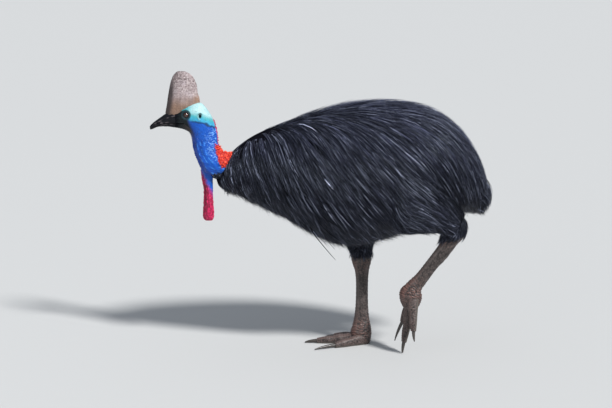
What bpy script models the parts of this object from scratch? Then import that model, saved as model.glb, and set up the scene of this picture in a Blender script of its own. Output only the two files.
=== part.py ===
"""A southern cassowary in mid stride, life size, as a still model.

Metres, +Z up. The bird faces -X, its left side faces -Y, and it stands on the plane z = 0.
Side outlines are lists of stations. A station is a pair of outline points, the lower or front
one and the upper or back one, as (x, z), with the half width across and the y of its middle.
"""

import math
import random

import bmesh
import bpy
from mathutils import Matrix, Vector
from mathutils.bvhtree import BVHTree

GAP = 0.0003  # clear space between touching nodes
SHARP_ANGLE = math.radians(40)  # edges that turn more than this stay sharp in smooth shading
FAR = 2.0  # reach of a cutter that has no end
WELD = 0.000001  # points closer than this on a curve's mesh are one
FLAT_ANGLE = math.radians(0.1)  # faces that turn less than this are joined after a cut
LEFT = -1
RIGHT = 1

# Head
EYE_RADIUS = 0.0125
EYE = Vector((-0.505, 0.0215, 0.900))
EYE_OUT = Vector((-0.12, 1.0, 0.08))
LID_RADIUS = 0.0113
LID_THICKNESS = 0.0032
LID_LIFT = 0.0080
LID_SIDES = 12
EAR = Vector((-0.453, 0.0335, 0.896))
EAR_OUT = Vector((0.25, 1.0, 0.10))
EAR_HOLE = (0.0075, 0.0042, 0.0070)
EAR_RIM = (0.0040, 0.0080, 0.0110)
NOSTRIL = Vector((-0.613, 0.0098, 0.868))
NOSTRIL_OUT = Vector((-0.14, 1.0, 0.0))
NOSTRIL_HOLE = (0.0030, 0.0065, 0.0020)
MOUTH_CORNER = Vector((-0.523, 0.0262, 0.8672))
MOUTH_OUT = Vector((-0.25, 1.0, 0.0))
MOUTH_SLIT = (0.0040, 0.032, 0.0012)
MOUTH_LIP = (0.0035, 0.034, 0.0042)

# Caruncle: rows of bulbs across the back of the lower neck, and a strip up the nape. A place on
# the neck is a station number, counted from 0, and an angle from the nape.
CARUNCLE_ROWS = (9.5, 10.0, 10.5)
CARUNCLE_ANGLES = (14, 40, 65)
CARUNCLE_BULB = (0.0055, 0.0125, 0.0115)
NAPE_START = 5.8
NAPE_END = 9.3
NAPE_BULBS = 10
NAPE_BULB = (0.0042, 0.0062, 0.0130)

# Feet
TOE_STEP = 0.023  # from the middle toe's line to the next toe's at the foot's hub
HUB_HEIGHT = 0.030  # from the soles to the middle of the hub
RIGHT_HUB = Vector((0.160, 0.060, 0.030))
RIGHT_SPLAY = math.radians(27)
LEFT_HUB = Vector((0.338, -0.092, 0.2165))
LEFT_SPLAY = math.radians(15)
LEFT_FOLD = math.radians(-76)  # how far the raised foot's toes hang down
LEFT_FAN = math.radians(9)  # how far its side toes stand off the middle one, fore and aft

# Wings: a stub with bare quills, whose tips lie at these (x, z)
WING_STUB = Vector((-0.145, 0.150, 0.652))
WING_STUB_SIZE = (0.040, 0.020, 0.026)
QUILL_TIPS = ((0.055, 0.362), (0.068, 0.432), (0.072, 0.490), (0.060, 0.542), (0.035, 0.585))
QUILL_RADIUS = 0.0024
QUILL_STAND_OFF = 0.0040
QUILL_SAG = 0.012
QUILL_TAPER = 0.6  # share of the radius that is lost at the tip
QUILL_POINTS = 7
QUILL_START = Vector((-0.006, 0.0, -0.010))  # the first quill's root from the stub's middle
QUILL_SPACING = Vector((0.006, 0.0, 0.005))  # from one quill's root to the next
HANGING_Y = 0.108  # how far from the middle the quills hang below the flank

# Coat: locks of drooping plumes over a core. Lengths go with x along the body.
CORE_INSET = 0.024  # from the tips in to the core
CORE_INSET_SHARE = 0.16  # the most of the half width that this may take
CORE_TAIL_CUT = 2  # stations at the tail's tip that only plumes reach
CORE_RINGS = 15
CORE_SIDES = 14
LOCK_LENGTHS = ((-0.40, 0.090), (-0.20, 0.155), (0.10, 0.205), (0.60, 0.215))
THIGH_LOCK_LENGTH = 0.135
LOCK_WIDTH = 0.38  # of its length
LOCK_THICKNESS = 0.007
LOCK_PROFILE = ((0.0, 0.45, 1.0), (0.35, 1.0, 1.0), (0.72, 0.78, 0.65))  # place, width, thickness
LOCK_RISE = ((0.0, 0.0), (0.35, 0.50), (0.72, 0.88), (1.0, 1.0))  # share of the room over the core
LOCK_RIDGE = 0.6  # share of the thickness above the middle
LOCK_ROOT_DEPTH = 0.004
LOCK_BED_DEPTH = 0.005  # how deep its underside lies in the core
LOCK_OVERHANG = 0.60  # share of its length from which it stands clear of the core
LOCK_STEPS = 12
LOCK_SPACING_ALONG = 0.54  # of its length
LOCK_SPACING_ACROSS = 0.94  # of its width
LOCK_PLACES = 2200
LOCK_SEED = 11
FREE_SLOPE = -0.45  # the normal's z under which plumes hang free
GRAVITY = 0.20  # how much a free stretch turns down at each step
OVERSHOOT = 0.006  # how far a tip may pass the outline
LIE_ANGLES = ((-0.40, 72), (-0.15, 48), (0.15, 42), (0.45, 55), (0.62, 78))  # below level, at x
LEFT_HOCK = Vector((0.520, -0.111, 0.480))
RIGHT_HOCK = Vector((0.160, 0.075, 0.300))
LEFT_THIGH_LIE = ((0.300, 0.360), (0.680, 0.360), (0.400, 0.700), (0.300, 0.700))
RIGHT_THIGH_LIE = ((0.000, 0.250), (0.240, 0.250), (0.240, 0.420), (0.000, 0.420))
THIGH_LIE_Y = 0.050

MOUTH_LINE = (
    (-0.660, 0.8445), (-0.644, 0.8462), (-0.635, 0.8485), (-0.616, 0.8575), (-0.599, 0.8632),
    (-0.576, 0.8672), (-0.540, 0.8678),
)
BILL = (
    (-0.6435, 0.8425, -0.6455, 0.8540, 0.0030, 0.0),
    (-0.6350, 0.8440, -0.6385, 0.8630, 0.0062, 0.0),
    (-0.6165, 0.8520, -0.6210, 0.8775, 0.0098, 0.0),
    (-0.5975, 0.8540, -0.6045, 0.8890, 0.0128, 0.0),
    (-0.5750, 0.8535, -0.5800, 0.9045, 0.0165, 0.0),
    (-0.5483, 0.8500, -0.5483, 0.9130, 0.0205, 0.0),
)
HEAD_AND_NECK = (
    (-0.5480, 0.8500, -0.5480, 0.9130, 0.0205, 0.0),
    (-0.5330, 0.8475, -0.5360, 0.9180, 0.0255, 0.0),
    (-0.5160, 0.8430, -0.5150, 0.9310, 0.0310, 0.0),
    (-0.4980, 0.8330, -0.4850, 0.9430, 0.0345, 0.0),
    (-0.4900, 0.8200, -0.4510, 0.9430, 0.0365, 0.0),
    (-0.4870, 0.8060, -0.4250, 0.9150, 0.0365, 0.0),
    (-0.4850, 0.7950, -0.4040, 0.8750, 0.0350, 0.0),
    (-0.4830, 0.7810, -0.3940, 0.8330, 0.0335, 0.0),
    (-0.4790, 0.7640, -0.3890, 0.7950, 0.0335, 0.0),
    (-0.4710, 0.7380, -0.3830, 0.7660, 0.0350, 0.0),
    (-0.4570, 0.7030, -0.3590, 0.7510, 0.0420, 0.0),
    (-0.4350, 0.6690, -0.3210, 0.7480, 0.0520, 0.0),
    (-0.3740, 0.6550, -0.2850, 0.7280, 0.0520, 0.0),
    (-0.3000, 0.6500, -0.2400, 0.7050, 0.0400, 0.0),
)
HEAD_EDGE = ((-0.600, 0.778), (-0.495, 0.8155), (-0.390, 0.868), (-0.300, 0.905))
CASQUE = (
    (-0.5830, 0.8890, -0.4590, 0.9340, 0.0200, 0.0),
    (-0.5845, 0.9060, -0.4560, 0.9430, 0.0212, 0.0),
    (-0.5815, 0.9260, -0.4565, 0.9540, 0.0212, 0.0),
    (-0.5770, 0.9520, -0.4580, 0.9680, 0.0205, 0.0),
    (-0.5710, 0.9860, -0.4650, 0.9900, 0.0185, 0.0),
    (-0.5650, 1.0150, -0.4670, 1.0130, 0.0168, 0.0),
    (-0.5570, 1.0400, -0.4770, 1.0370, 0.0145, 0.0),
    (-0.5450, 1.0560, -0.4930, 1.0540, 0.0108, 0.0),
    (-0.5300, 1.0630, -0.5080, 1.0620, 0.0060, 0.0),
)
WATTLE = (
    (-0.4450, 0.6920, -0.4000, 0.7000, 0.0115, 0.0135),
    (-0.4395, 0.6520, -0.4080, 0.6600, 0.0085, 0.0140),
    (-0.4335, 0.6180, -0.4090, 0.6220, 0.0072, 0.0150),
    (-0.4335, 0.5800, -0.4080, 0.5800, 0.0080, 0.0165),
    (-0.4360, 0.5460, -0.4050, 0.5460, 0.0092, 0.0175),
    (-0.4375, 0.5190, -0.4045, 0.5190, 0.0092, 0.0175),
    (-0.4340, 0.5040, -0.4075, 0.5040, 0.0075, 0.0175),
    (-0.4270, 0.4970, -0.4150, 0.4970, 0.0040, 0.0175),
)
RIGHT_WATTLE_SHIFT = Vector((-0.0115, 0.0, -0.006))

TORSO = (
    (-0.4000, 0.6430, -0.3340, 0.7560, 0.0580, 0.0),
    (-0.3860, 0.6160, -0.3000, 0.7950, 0.0760, 0.0),
    (-0.3370, 0.5940, -0.2520, 0.8320, 0.0990, 0.0),
    (-0.2700, 0.5630, -0.1900, 0.8660, 0.1270, 0.0),
    (-0.1900, 0.5190, -0.1300, 0.8880, 0.1510, 0.0),
    (-0.1090, 0.4820, -0.0700, 0.9100, 0.1730, 0.0),
    (-0.0180, 0.4260, -0.0010, 0.9290, 0.1880, 0.0),
    (0.0580, 0.3920, 0.0640, 0.9470, 0.1990, 0.0),
    (0.1580, 0.3930, 0.1550, 0.9600, 0.2080, 0.0),
    (0.2570, 0.4180, 0.2520, 0.9620, 0.2100, 0.0),
    (0.3480, 0.4520, 0.3430, 0.9520, 0.2040, 0.0),
    (0.4240, 0.4830, 0.4330, 0.9240, 0.1900, 0.0),
    (0.4840, 0.5070, 0.5170, 0.8630, 0.1660, 0.0),
    (0.5370, 0.5190, 0.5830, 0.7760, 0.1360, 0.0),
    (0.5830, 0.5230, 0.6260, 0.6770, 0.1000, 0.0),
    (0.6210, 0.5230, 0.6480, 0.5810, 0.0550, 0.0),
    (0.6360, 0.5310, 0.6470, 0.5540, 0.0200, 0.0),
)
LEFT_THIGH = (
    (0.2300, 0.5200, 0.2550, 0.7000, 0.0600, -0.085),
    (0.2960, 0.4600, 0.3230, 0.7320, 0.0780, -0.134),
    (0.3780, 0.4650, 0.3970, 0.6880, 0.0680, -0.142),
    (0.4450, 0.4640, 0.4620, 0.6300, 0.0530, -0.132),
    (0.4800, 0.4480, 0.5110, 0.5810, 0.0400, -0.120),
    (0.4880, 0.4300, 0.5400, 0.5430, 0.0320, -0.111),
)
RIGHT_THIGH = (
    (0.0100, 0.6000, 0.1900, 0.6400, 0.0800, 0.125),
    (0.0370, 0.5370, 0.2220, 0.5370, 0.0740, 0.120),
    (0.0600, 0.4600, 0.2220, 0.4600, 0.0640, 0.103),
    (0.0790, 0.4110, 0.2140, 0.4150, 0.0480, 0.088),
    (0.1020, 0.3700, 0.2040, 0.3740, 0.0360, 0.076),
    (0.1160, 0.3450, 0.1990, 0.3490, 0.0310, 0.071),
)
LEFT_SHANK = (
    (0.4700, 0.5100, 0.5200, 0.5430, 0.0200, -0.111),
    (0.4560, 0.4700, 0.5450, 0.5020, 0.0265, -0.110),
    (0.4500, 0.4440, 0.5380, 0.4560, 0.0265, -0.110),
    (0.4430, 0.4220, 0.5080, 0.4180, 0.0240, -0.108),
    (0.4300, 0.4010, 0.4730, 0.3690, 0.0200, -0.105),
    (0.3980, 0.3560, 0.4350, 0.3260, 0.0178, -0.100),
    (0.3620, 0.3080, 0.4010, 0.2770, 0.0185, -0.096),
    (0.3280, 0.2740, 0.3800, 0.2440, 0.0235, -0.093),
    (0.3000, 0.2420, 0.3820, 0.2180, 0.0300, -0.092),
    (0.2990, 0.2080, 0.3780, 0.1960, 0.0300, -0.092),
    (0.3120, 0.1760, 0.3640, 0.1700, 0.0220, -0.092),
)
RIGHT_SHANK = (
    (0.1250, 0.3900, 0.1850, 0.3900, 0.0200, 0.072),
    (0.1190, 0.3480, 0.1975, 0.3480, 0.0265, 0.070),
    (0.1220, 0.3200, 0.1950, 0.3200, 0.0255, 0.069),
    (0.1330, 0.2850, 0.1870, 0.2850, 0.0210, 0.067),
    (0.1375, 0.2400, 0.1840, 0.2400, 0.0180, 0.065),
    (0.1370, 0.1700, 0.1840, 0.1700, 0.0178, 0.063),
    (0.1330, 0.1150, 0.1870, 0.1150, 0.0200, 0.061),
    (0.1260, 0.0780, 0.1930, 0.0780, 0.0260, 0.060),
    (0.1180, 0.0480, 0.1980, 0.0480, 0.0330, 0.060),
    (0.1200, 0.0180, 0.1960, 0.0180, 0.0330, 0.060),
    (0.1260, 0.0000, 0.1900, 0.0000, 0.0290, 0.060),
)

# Toes and claws point along -X from the foot's hub, with their soles on z = 0.
MIDDLE_TOE = (
    (0.0050, -0.0030, 0.0050, 0.0420, 0.0175, 0.0),
    (-0.0300, -0.0040, -0.0300, 0.0450, 0.0185, 0.0),
    (-0.0600, -0.0030, -0.0600, 0.0370, 0.0162, 0.0),
    (-0.0850, -0.0040, -0.0850, 0.0350, 0.0172, 0.0),
    (-0.1100, -0.0030, -0.1100, 0.0290, 0.0145, 0.0),
    (-0.1320, -0.0040, -0.1320, 0.0275, 0.0152, 0.0),
    (-0.1550, -0.0030, -0.1550, 0.0235, 0.0130, 0.0),
    (-0.1740, -0.0010, -0.1740, 0.0190, 0.0105, 0.0),
)
SIDE_TOE = (
    (0.0050, -0.0030, 0.0050, 0.0380, 0.0150, 0.0),
    (-0.0250, -0.0040, -0.0250, 0.0400, 0.0165, 0.0),
    (-0.0500, -0.0030, -0.0500, 0.0325, 0.0145, 0.0),
    (-0.0750, -0.0040, -0.0750, 0.0300, 0.0150, 0.0),
    (-0.0980, -0.0030, -0.0980, 0.0250, 0.0128, 0.0),
    (-0.1180, -0.0010, -0.1180, 0.0195, 0.0100, 0.0),
)
MIDDLE_CLAW = (
    (-0.1660, 0.0030, -0.1660, 0.0165, 0.0072, 0.0),
    (-0.1850, 0.0025, -0.1850, 0.0155, 0.0064, 0.0),
    (-0.2050, 0.0018, -0.2050, 0.0115, 0.0046, 0.0),
    (-0.2200, 0.0015, -0.2200, 0.0060, 0.0026, 0.0),
)
OUTER_CLAW = (
    (-0.1100, 0.0030, -0.1100, 0.0165, 0.0068, 0.0),
    (-0.1280, 0.0025, -0.1280, 0.0145, 0.0058, 0.0),
    (-0.1450, 0.0018, -0.1450, 0.0100, 0.0040, 0.0),
    (-0.1570, 0.0015, -0.1570, 0.0045, 0.0018, 0.0),
)
DAGGER_CLAW = (
    (-0.1100, 0.0030, -0.1100, 0.0170, 0.0072, 0.0),
    (-0.1400, 0.0040, -0.1400, 0.0165, 0.0064, 0.0),
    (-0.1750, 0.0040, -0.1750, 0.0125, 0.0042, 0.0),
    (-0.2050, 0.0025, -0.2050, 0.0060, 0.0016, 0.0),
)

# Where the coat is parted into nodes, as (x, z)
BREAST_EDGE = ((-0.190, 0.30), (-0.215, 0.60), (-0.255, 1.10))
TAIL_EDGE = ((0.520, 0.30), (0.440, 0.60), (0.370, 1.10))
LEFT_THIGH_EDGE = (
    (0.285, 0.360), (0.600, 0.360), (0.610, 0.480), (0.545, 0.545), (0.405, 0.738), (0.360, 0.765),
    (0.318, 0.745), (0.292, 0.680),
)
RIGHT_THIGH_EDGE = (
    (0.020, 0.300), (0.245, 0.300), (0.240, 0.600), (0.180, 0.672), (0.080, 0.680), (0.015, 0.620),
)
THIGH_EDGE_Y = 0.035

COLOURS = {
    "plumage": ((0.012, 0.012, 0.016), 0.55),
    "head_skin": ((0.35, 0.68, 0.72), 0.55),
    "neck_skin": ((0.01, 0.10, 0.50), 0.50),
    "caruncle": ((0.70, 0.09, 0.05), 0.55),
    "wattle": ((0.55, 0.03, 0.10), 0.45),
    "casque": ((0.36, 0.29, 0.27), 0.60),
    "bill": ((0.05, 0.05, 0.06), 0.35),
    "eye": ((0.16, 0.05, 0.02), 0.08),
    "shank": ((0.17, 0.14, 0.13), 0.70),
    "claw": ((0.05, 0.045, 0.04), 0.40),
    "quill": ((0.01, 0.01, 0.012), 0.30),
}


# Shapes

def material(name):
    found = bpy.data.materials.get(name)
    if found:
        return found
    colour, roughness = COLOURS[name]
    made = bpy.data.materials.new(name)
    made.use_nodes = True
    shader = made.node_tree.nodes["Principled BSDF"]
    shader.inputs["Base Color"].default_value = (*colour, 1.0)
    shader.inputs["Roughness"].default_value = roughness
    return made


def new_object(name, points, faces, slot):
    """A closed mesh of triangles that face outwards."""
    mesh = bpy.data.meshes.new(name)
    mesh.from_pydata([tuple(p) for p in points], [], faces)
    return closed_object(name, mesh, slot)


def closed_object(name, mesh, slot):
    """An object of a closed mesh, with its faces made triangles that face outwards."""
    mesh.materials.clear()
    mesh.materials.append(material(slot))
    bm = bmesh.new()
    bm.from_mesh(mesh)
    bmesh.ops.recalc_face_normals(bm, faces=bm.faces)
    if bm.calc_volume(signed=True) < 0:
        bmesh.ops.reverse_faces(bm, faces=bm.faces)
    bmesh.ops.triangulate(bm, faces=bm.faces)
    bm.to_mesh(mesh)
    bm.free()
    obj = bpy.data.objects.new(name, mesh)
    bird.objects.link(obj)
    return obj


def curve_mesh(curve):
    """The mesh of a curve, with its caps welded on."""
    guide = bpy.data.objects.new("guide", curve)
    bird.objects.link(guide)
    bpy.context.view_layer.update()
    graph = bpy.context.evaluated_depsgraph_get()
    mesh = bpy.data.meshes.new_from_object(guide.evaluated_get(graph))
    bpy.data.objects.remove(guide)
    bpy.data.curves.remove(curve)
    bm = bmesh.new()
    bm.from_mesh(mesh)
    bmesh.ops.remove_doubles(bm, verts=bm.verts, dist=WELD)
    bm.to_mesh(mesh)
    bm.free()
    return mesh


def tube_faces(rings, sides, closed=False):
    faces = []
    for k in range(rings if closed else rings - 1):
        for s in range(sides):
            a = k * sides
            b = (k + 1) % rings * sides
            t = (s + 1) % sides
            faces.append((a + s, a + t, b + t, b + s))
    if not closed:
        faces.append(tuple(range(sides)))
        faces.append(tuple(range((rings - 1) * sides, rings * sides)))
    return faces


def station_at(stations, t):
    """The station at t, from 0 to 1 along the list, on a Catmull-Rom curve through them."""
    last = len(stations) - 1
    at = min(t * last, last - 1e-9)
    i = int(at)
    f = at - i
    rows = [stations[min(max(k, 0), last)] for k in range(i - 1, i + 3)]
    return [
        b + 0.5 * f * (c - a + f * (2 * a - 5 * b + 4 * c - d + f * (3 * (b - c) + d - a)))
        for a, b, c, d in zip(*rows)
    ]


def loft(name, stations, rings, sides, slot="plumage", power=2.0, grow=0.0, scute=0.0, floor=None):
    """A closed body through the stations, whose sections are superellipses of this power.

    grow moves its faces out. scute raises every second ring at the front, and no point is left
    below the floor.
    """
    points = []
    for k in range(rings):
        xa, za, xb, zb, half, y = station_at(stations, k / (rings - 1))
        centre = Vector(((xa + xb) / 2, y, (za + zb) / 2))
        deep = Vector((xb - xa, 0, zb - za)) / 2
        reach = deep.length + grow
        deep.normalize()
        raised = scute if k % 2 and k < rings - 2 else 0.0
        for s in range(sides):
            angle = 2 * math.pi * s / sides
            c, n = math.cos(angle), math.sin(angle)
            along = math.copysign(abs(c) ** (2 / power), c) * (reach + (raised if c < -0.2 else 0))
            across = math.copysign(abs(n) ** (2 / power), n) * (half + grow)
            points.append(centre + deep * along + Vector((0, across, 0)))
    if grow:
        for here, there in ((0, 1), (rings - 1, rings - 2)):
            out = middle_of(points, here, sides) - middle_of(points, there, sides)
            out.normalize()
            for s in range(sides):
                points[here * sides + s] += out * grow
    if floor is not None:
        points = [Vector((p.x, p.y, max(p.z, floor))) for p in points]
    return new_object(name, points, tube_faces(rings, sides), slot)


def middle_of(points, ring, sides):
    return sum(points[ring * sides:(ring + 1) * sides], Vector()) / sides


def tube(name, path, radii, slot, resolution, closed=False):
    """A round tube along a path, closed into a ring or capped."""
    curve = bpy.data.curves.new(name, "CURVE")
    curve.dimensions = "3D"
    curve.fill_mode = "FULL"
    curve.bevel_depth = 1.0
    curve.bevel_resolution = resolution
    curve.use_fill_caps = not closed
    spline = curve.splines.new("POLY")
    spline.points.add(len(path) - 1)
    for point, centre, radius in zip(spline.points, path, radii):
        point.co = (*centre, 1.0)
        point.radius = radius
    spline.use_cyclic_u = closed
    return closed_object(name, curve_mesh(curve), slot)


def ellipsoid(name, centre, radii, slot="plumage", rings=8, sides=12, out=None):
    """An ellipsoid. Where out is given its first radius is along out and its last is upward."""
    bm = bmesh.new()
    bmesh.ops.create_uvsphere(bm, u_segments=sides, v_segments=rings, radius=1.0)
    turn = out.to_track_quat("X", "Z").to_matrix().to_4x4() if out else Matrix()
    shape = Matrix.Translation(centre) @ turn @ Matrix.Diagonal((*radii, 1))
    bmesh.ops.transform(bm, matrix=shape, verts=bm.verts)
    points = [v.co.copy() for v in bm.verts]
    faces = [tuple(v.index for v in face.verts) for face in bm.faces]
    bm.free()
    return new_object(name, points, faces, slot)


def prism(outline, low_y, high_y):
    """A cutter with this outline in the XZ plane."""
    count = len(outline)
    points = [(x, y, z) for y in (low_y, high_y) for x, z in outline]
    faces = [tuple(range(count)), tuple(range(count, 2 * count))]
    faces += [(i, (i + 1) % count, (i + 1) % count + count, i + count) for i in range(count)]
    return new_object("cutter", points, faces, "plumage")


def side_of(line, toward):
    """A cutter that fills one side of a line in the XZ plane, half a gap short of it."""
    near = [(x + toward[0] * GAP / 2, z + toward[1] * GAP / 2) for x, z in line]
    far = [(x + toward[0] * FAR, z + toward[1] * FAR) for x, z in reversed(line)]
    return prism(near + far, -FAR, FAR)


def outset(outline, distance):
    """A counterclockwise outline with each of its sides moved out."""
    corners = [Vector(corner) for corner in outline]
    moved = []
    for i, corner in enumerate(corners):
        before = corner - corners[i - 1]
        after = corners[(i + 1) % len(corners)] - corner
        a = Vector((before.y, -before.x)).normalized()
        b = Vector((after.y, -after.x)).normalized()
        moved.append(tuple(corner + (a + b) / (1 + a.dot(b)) * distance))
    return moved


def boolean(obj, operands, operation, solver="EXACT"):
    """Applies one Boolean with all the operands and removes them."""
    group = bpy.data.collections.new("operands")
    bpy.context.scene.collection.children.link(group)
    for operand in operands:
        bird.objects.unlink(operand)
        group.objects.link(operand)
    modifier = obj.modifiers.new("boolean", "BOOLEAN")
    modifier.operation = operation
    modifier.solver = solver
    modifier.operand_type = "COLLECTION"
    modifier.collection = group
    bpy.context.view_layer.update()
    graph = bpy.context.evaluated_depsgraph_get()
    made = bpy.data.meshes.new_from_object(obj.evaluated_get(graph))
    obj.modifiers.clear()
    obj.data = made
    for operand in operands:
        bpy.data.objects.remove(operand)
    bpy.data.collections.remove(group)
    keep_largest(obj)
    return obj


def keep_largest(obj):
    """Keeps only the largest closed surface of a mesh, and makes it all one material."""
    bm = bmesh.new()
    bm.from_mesh(obj.data)
    drop_small_shells(bm)
    for face in bm.faces:
        face.material_index = 0
    slot = obj.data.materials[0]
    bm.to_mesh(obj.data)
    bm.free()
    obj.data.materials.clear()
    obj.data.materials.append(slot)


def flatten(obj):
    """Joins the faces of a finished piece that lie in one plane."""
    bm = bmesh.new()
    bm.from_mesh(obj.data)
    bmesh.ops.dissolve_limit(bm, angle_limit=FLAT_ANGLE, verts=bm.verts, edges=bm.edges)
    bmesh.ops.triangulate(bm, faces=bm.faces)
    drop_small_shells(bm)
    bm.to_mesh(obj.data)
    bm.free()


def drop_small_shells(bm):
    """Deletes all but the largest of the closed surfaces, loose scraps and sealed hollows alike.

    Surfaces that only touch along an edge, where four faces meet, are told apart.
    """
    bmesh.ops.triangulate(bm, faces=bm.faces)
    unseen = dict.fromkeys(bm.faces)
    shells = []
    while unseen:
        stack = [unseen.popitem()[0]]
        shell = []
        while stack:
            face = stack.pop()
            shell.append(face)
            for edge in face.edges:
                if len(edge.link_faces) != 2:
                    continue
                for other in edge.link_faces:
                    if other in unseen:
                        del unseen[other]
                        stack.append(other)
        shells.append(shell)
    shells.sort(key=volume_of)
    loose = [face for shell in shells[:-1] for face in shell]
    bmesh.ops.delete(bm, geom=loose, context="FACES")


def volume_of(faces):
    total = 0.0
    for face in faces:
        a, b, c = (v.co for v in face.verts)
        total += a.dot(b.cross(c)) / 6
    return total


def copy_of(obj, name):
    made = bpy.data.objects.new(name, obj.data.copy())
    bird.objects.link(made)
    return made


def surface_of(obj):
    """A search tree over the mesh's faces."""
    mesh = obj.data
    faces = [tuple(polygon.vertices) for polygon in mesh.polygons]
    return BVHTree.FromPolygons([v.co for v in mesh.vertices], faces)


def on_side(point, side):
    return Vector((point.x, point.y * side, point.z))


# Head and neck

def casque_shape(grow=0.0):
    return loft("casque", CASQUE, 11, 14, "casque", power=1.7, grow=grow)


def skin_shape(grow=0.0):
    return loft("neck", HEAD_AND_NECK, 27, 16, "neck_skin", grow=grow)


def wattle_shape(side, grow=0.0):
    name = "wattle_right" if side == RIGHT else "wattle_left"
    stations = [(*row[:5], row[5] * side) for row in WATTLE]
    obj = loft(name, stations, 14, 8, "wattle", grow=grow)
    if side == RIGHT:
        obj.data.transform(Matrix.Translation(RIGHT_WATTLE_SHIFT))
    return obj


def make_bill():
    upper = loft("bill_upper", BILL, 10, 12, "bill", power=1.9)
    lower = copy_of(upper, "bill_lower")
    boolean(lower, [side_of(MOUTH_LINE, (0, -1))], "INTERSECT")
    boolean(upper, [side_of(MOUTH_LINE, (0, 1))], "INTERSECT")
    cutters = [casque_shape(GAP)]
    for side in (LEFT, RIGHT):
        out = on_side(NOSTRIL_OUT, side)
        place = on_side(NOSTRIL, side)
        cutters.append(ellipsoid("nostril", place, NOSTRIL_HOLE, rings=6, sides=10, out=out))
    boolean(upper, cutters, "DIFFERENCE")


def eyelids(side):
    """A soft ring round the eye."""
    out = on_side(EYE_OUT, side).normalized()
    turn = out.to_track_quat("Z", "Y")
    centre = on_side(EYE, side) + out * LID_LIFT
    path = []
    for i in range(LID_SIDES):
        angle = 2 * math.pi * i / LID_SIDES
        path.append(centre + turn @ Vector((math.cos(angle), math.sin(angle), 0)) * LID_RADIUS)
    return tube("lids", path, [LID_THICKNESS] * LID_SIDES, "head_skin", 1, closed=True)


def make_head():
    head = skin_shape()
    head.name = "head"
    head.data.materials[0] = material("head_skin")
    boolean(head, [side_of(HEAD_EDGE, (-0.4, 0.9))], "INTERSECT")
    added = []
    holes = [casque_shape(GAP)]
    for side in (LEFT, RIGHT):
        eye = on_side(EYE, side)
        ear = on_side(EAR, side)
        mouth = on_side(MOUTH_CORNER, side)
        ear_out = on_side(EAR_OUT, side)
        mouth_out = on_side(MOUTH_OUT, side)
        added.append(eyelids(side))
        added.append(ellipsoid("rim", ear, EAR_RIM, rings=6, sides=10, out=ear_out))
        added.append(ellipsoid("lip", mouth, MOUTH_LIP, rings=6, sides=8, out=mouth_out))
        holes.append(ellipsoid("socket", eye, [EYE_RADIUS + GAP] * 3, rings=8, sides=12))
        holes.append(ellipsoid("ear", ear, EAR_HOLE, rings=6, sides=10, out=ear_out))
        holes.append(ellipsoid("mouth", mouth, MOUTH_SLIT, rings=4, sides=8, out=mouth_out))
        name = "eye_right" if side == RIGHT else "eye_left"
        ellipsoid(name, eye, [EYE_RADIUS] * 3, "eye", rings=8, sides=12)
    boolean(head, added, "UNION")
    front = HEAD_AND_NECK[0][0] + GAP / 2
    holes.append(side_of(((front, 0), (front, FAR)), (-1, 0)))
    boolean(head, holes, "DIFFERENCE")
    casque_shape()


def make_neck():
    neck = skin_shape()
    boolean(neck, [side_of(HEAD_EDGE, (0.4, -0.9))], "INTERSECT")
    boolean(neck, [wattle_shape(side, GAP) for side in (LEFT, RIGHT)], "DIFFERENCE")
    for side in (LEFT, RIGHT):
        wattle_shape(side)


def neck_place(number, degrees):
    """A point on the skin at this station number and angle from the nape, and its outward way."""
    xa, za, xb, zb, half, y = station_at(HEAD_AND_NECK, number / (len(HEAD_AND_NECK) - 1))
    deep = Vector((xb - xa, 0, zb - za)) / 2
    c, n = math.cos(math.radians(degrees)), math.sin(math.radians(degrees))
    point = Vector(((xa + xb) / 2, y, (za + zb) / 2)) + deep * c + Vector((0, half * n, 0))
    out = deep.normalized() * (c / deep.length) + Vector((0, n / half, 0))
    return point, out.normalized()


def make_caruncle():
    """Warty folds over the lower neck, and a strip up the nape."""
    places = []
    for i, row in enumerate(CARUNCLE_ROWS):
        for j, angle in enumerate(CARUNCLE_ANGLES):
            number = row + 0.12 * (j % 2) * (1 if i % 2 else -1)
            places += [(number, angle, CARUNCLE_BULB), (number, -angle, CARUNCLE_BULB)]
    for i in range(NAPE_BULBS):
        number = NAPE_START + (NAPE_END - NAPE_START) * i / (NAPE_BULBS - 1)
        places.append((number, 0, NAPE_BULB))
    bulbs = []
    for number, angle, size in places:
        point, out = neck_place(number, angle)
        bulbs.append(ellipsoid("bulb", point, size, "caruncle", rings=5, sides=7, out=out))
    caruncle = bulbs.pop()
    caruncle.name = "neck_caruncle"
    boolean(caruncle, bulbs, "UNION")
    boolean(caruncle, [skin_shape(GAP), behind_coat_front()], "DIFFERENCE")


def behind_coat_front():
    """A cutter that fills everything behind the front end of the coat."""
    low = Vector(TORSO[0][0:2])
    high = Vector(TORSO[0][2:4])
    along = (high - low).normalized()
    back = (along.y, -along.x)
    start = Vector((-back[0], -back[1])) * GAP * 1.5
    return side_of((tuple(low + start - along * FAR), tuple(high + start + along * FAR)), back)


# Legs

def shank_shape(side, grow=0.0):
    if side == LEFT:
        return loft("shank_left", LEFT_SHANK, 22, 10, "shank", grow=grow, scute=0.0008)
    return loft("shank_right", RIGHT_SHANK, 22, 10, "shank", grow=grow, scute=0.0008)


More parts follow.
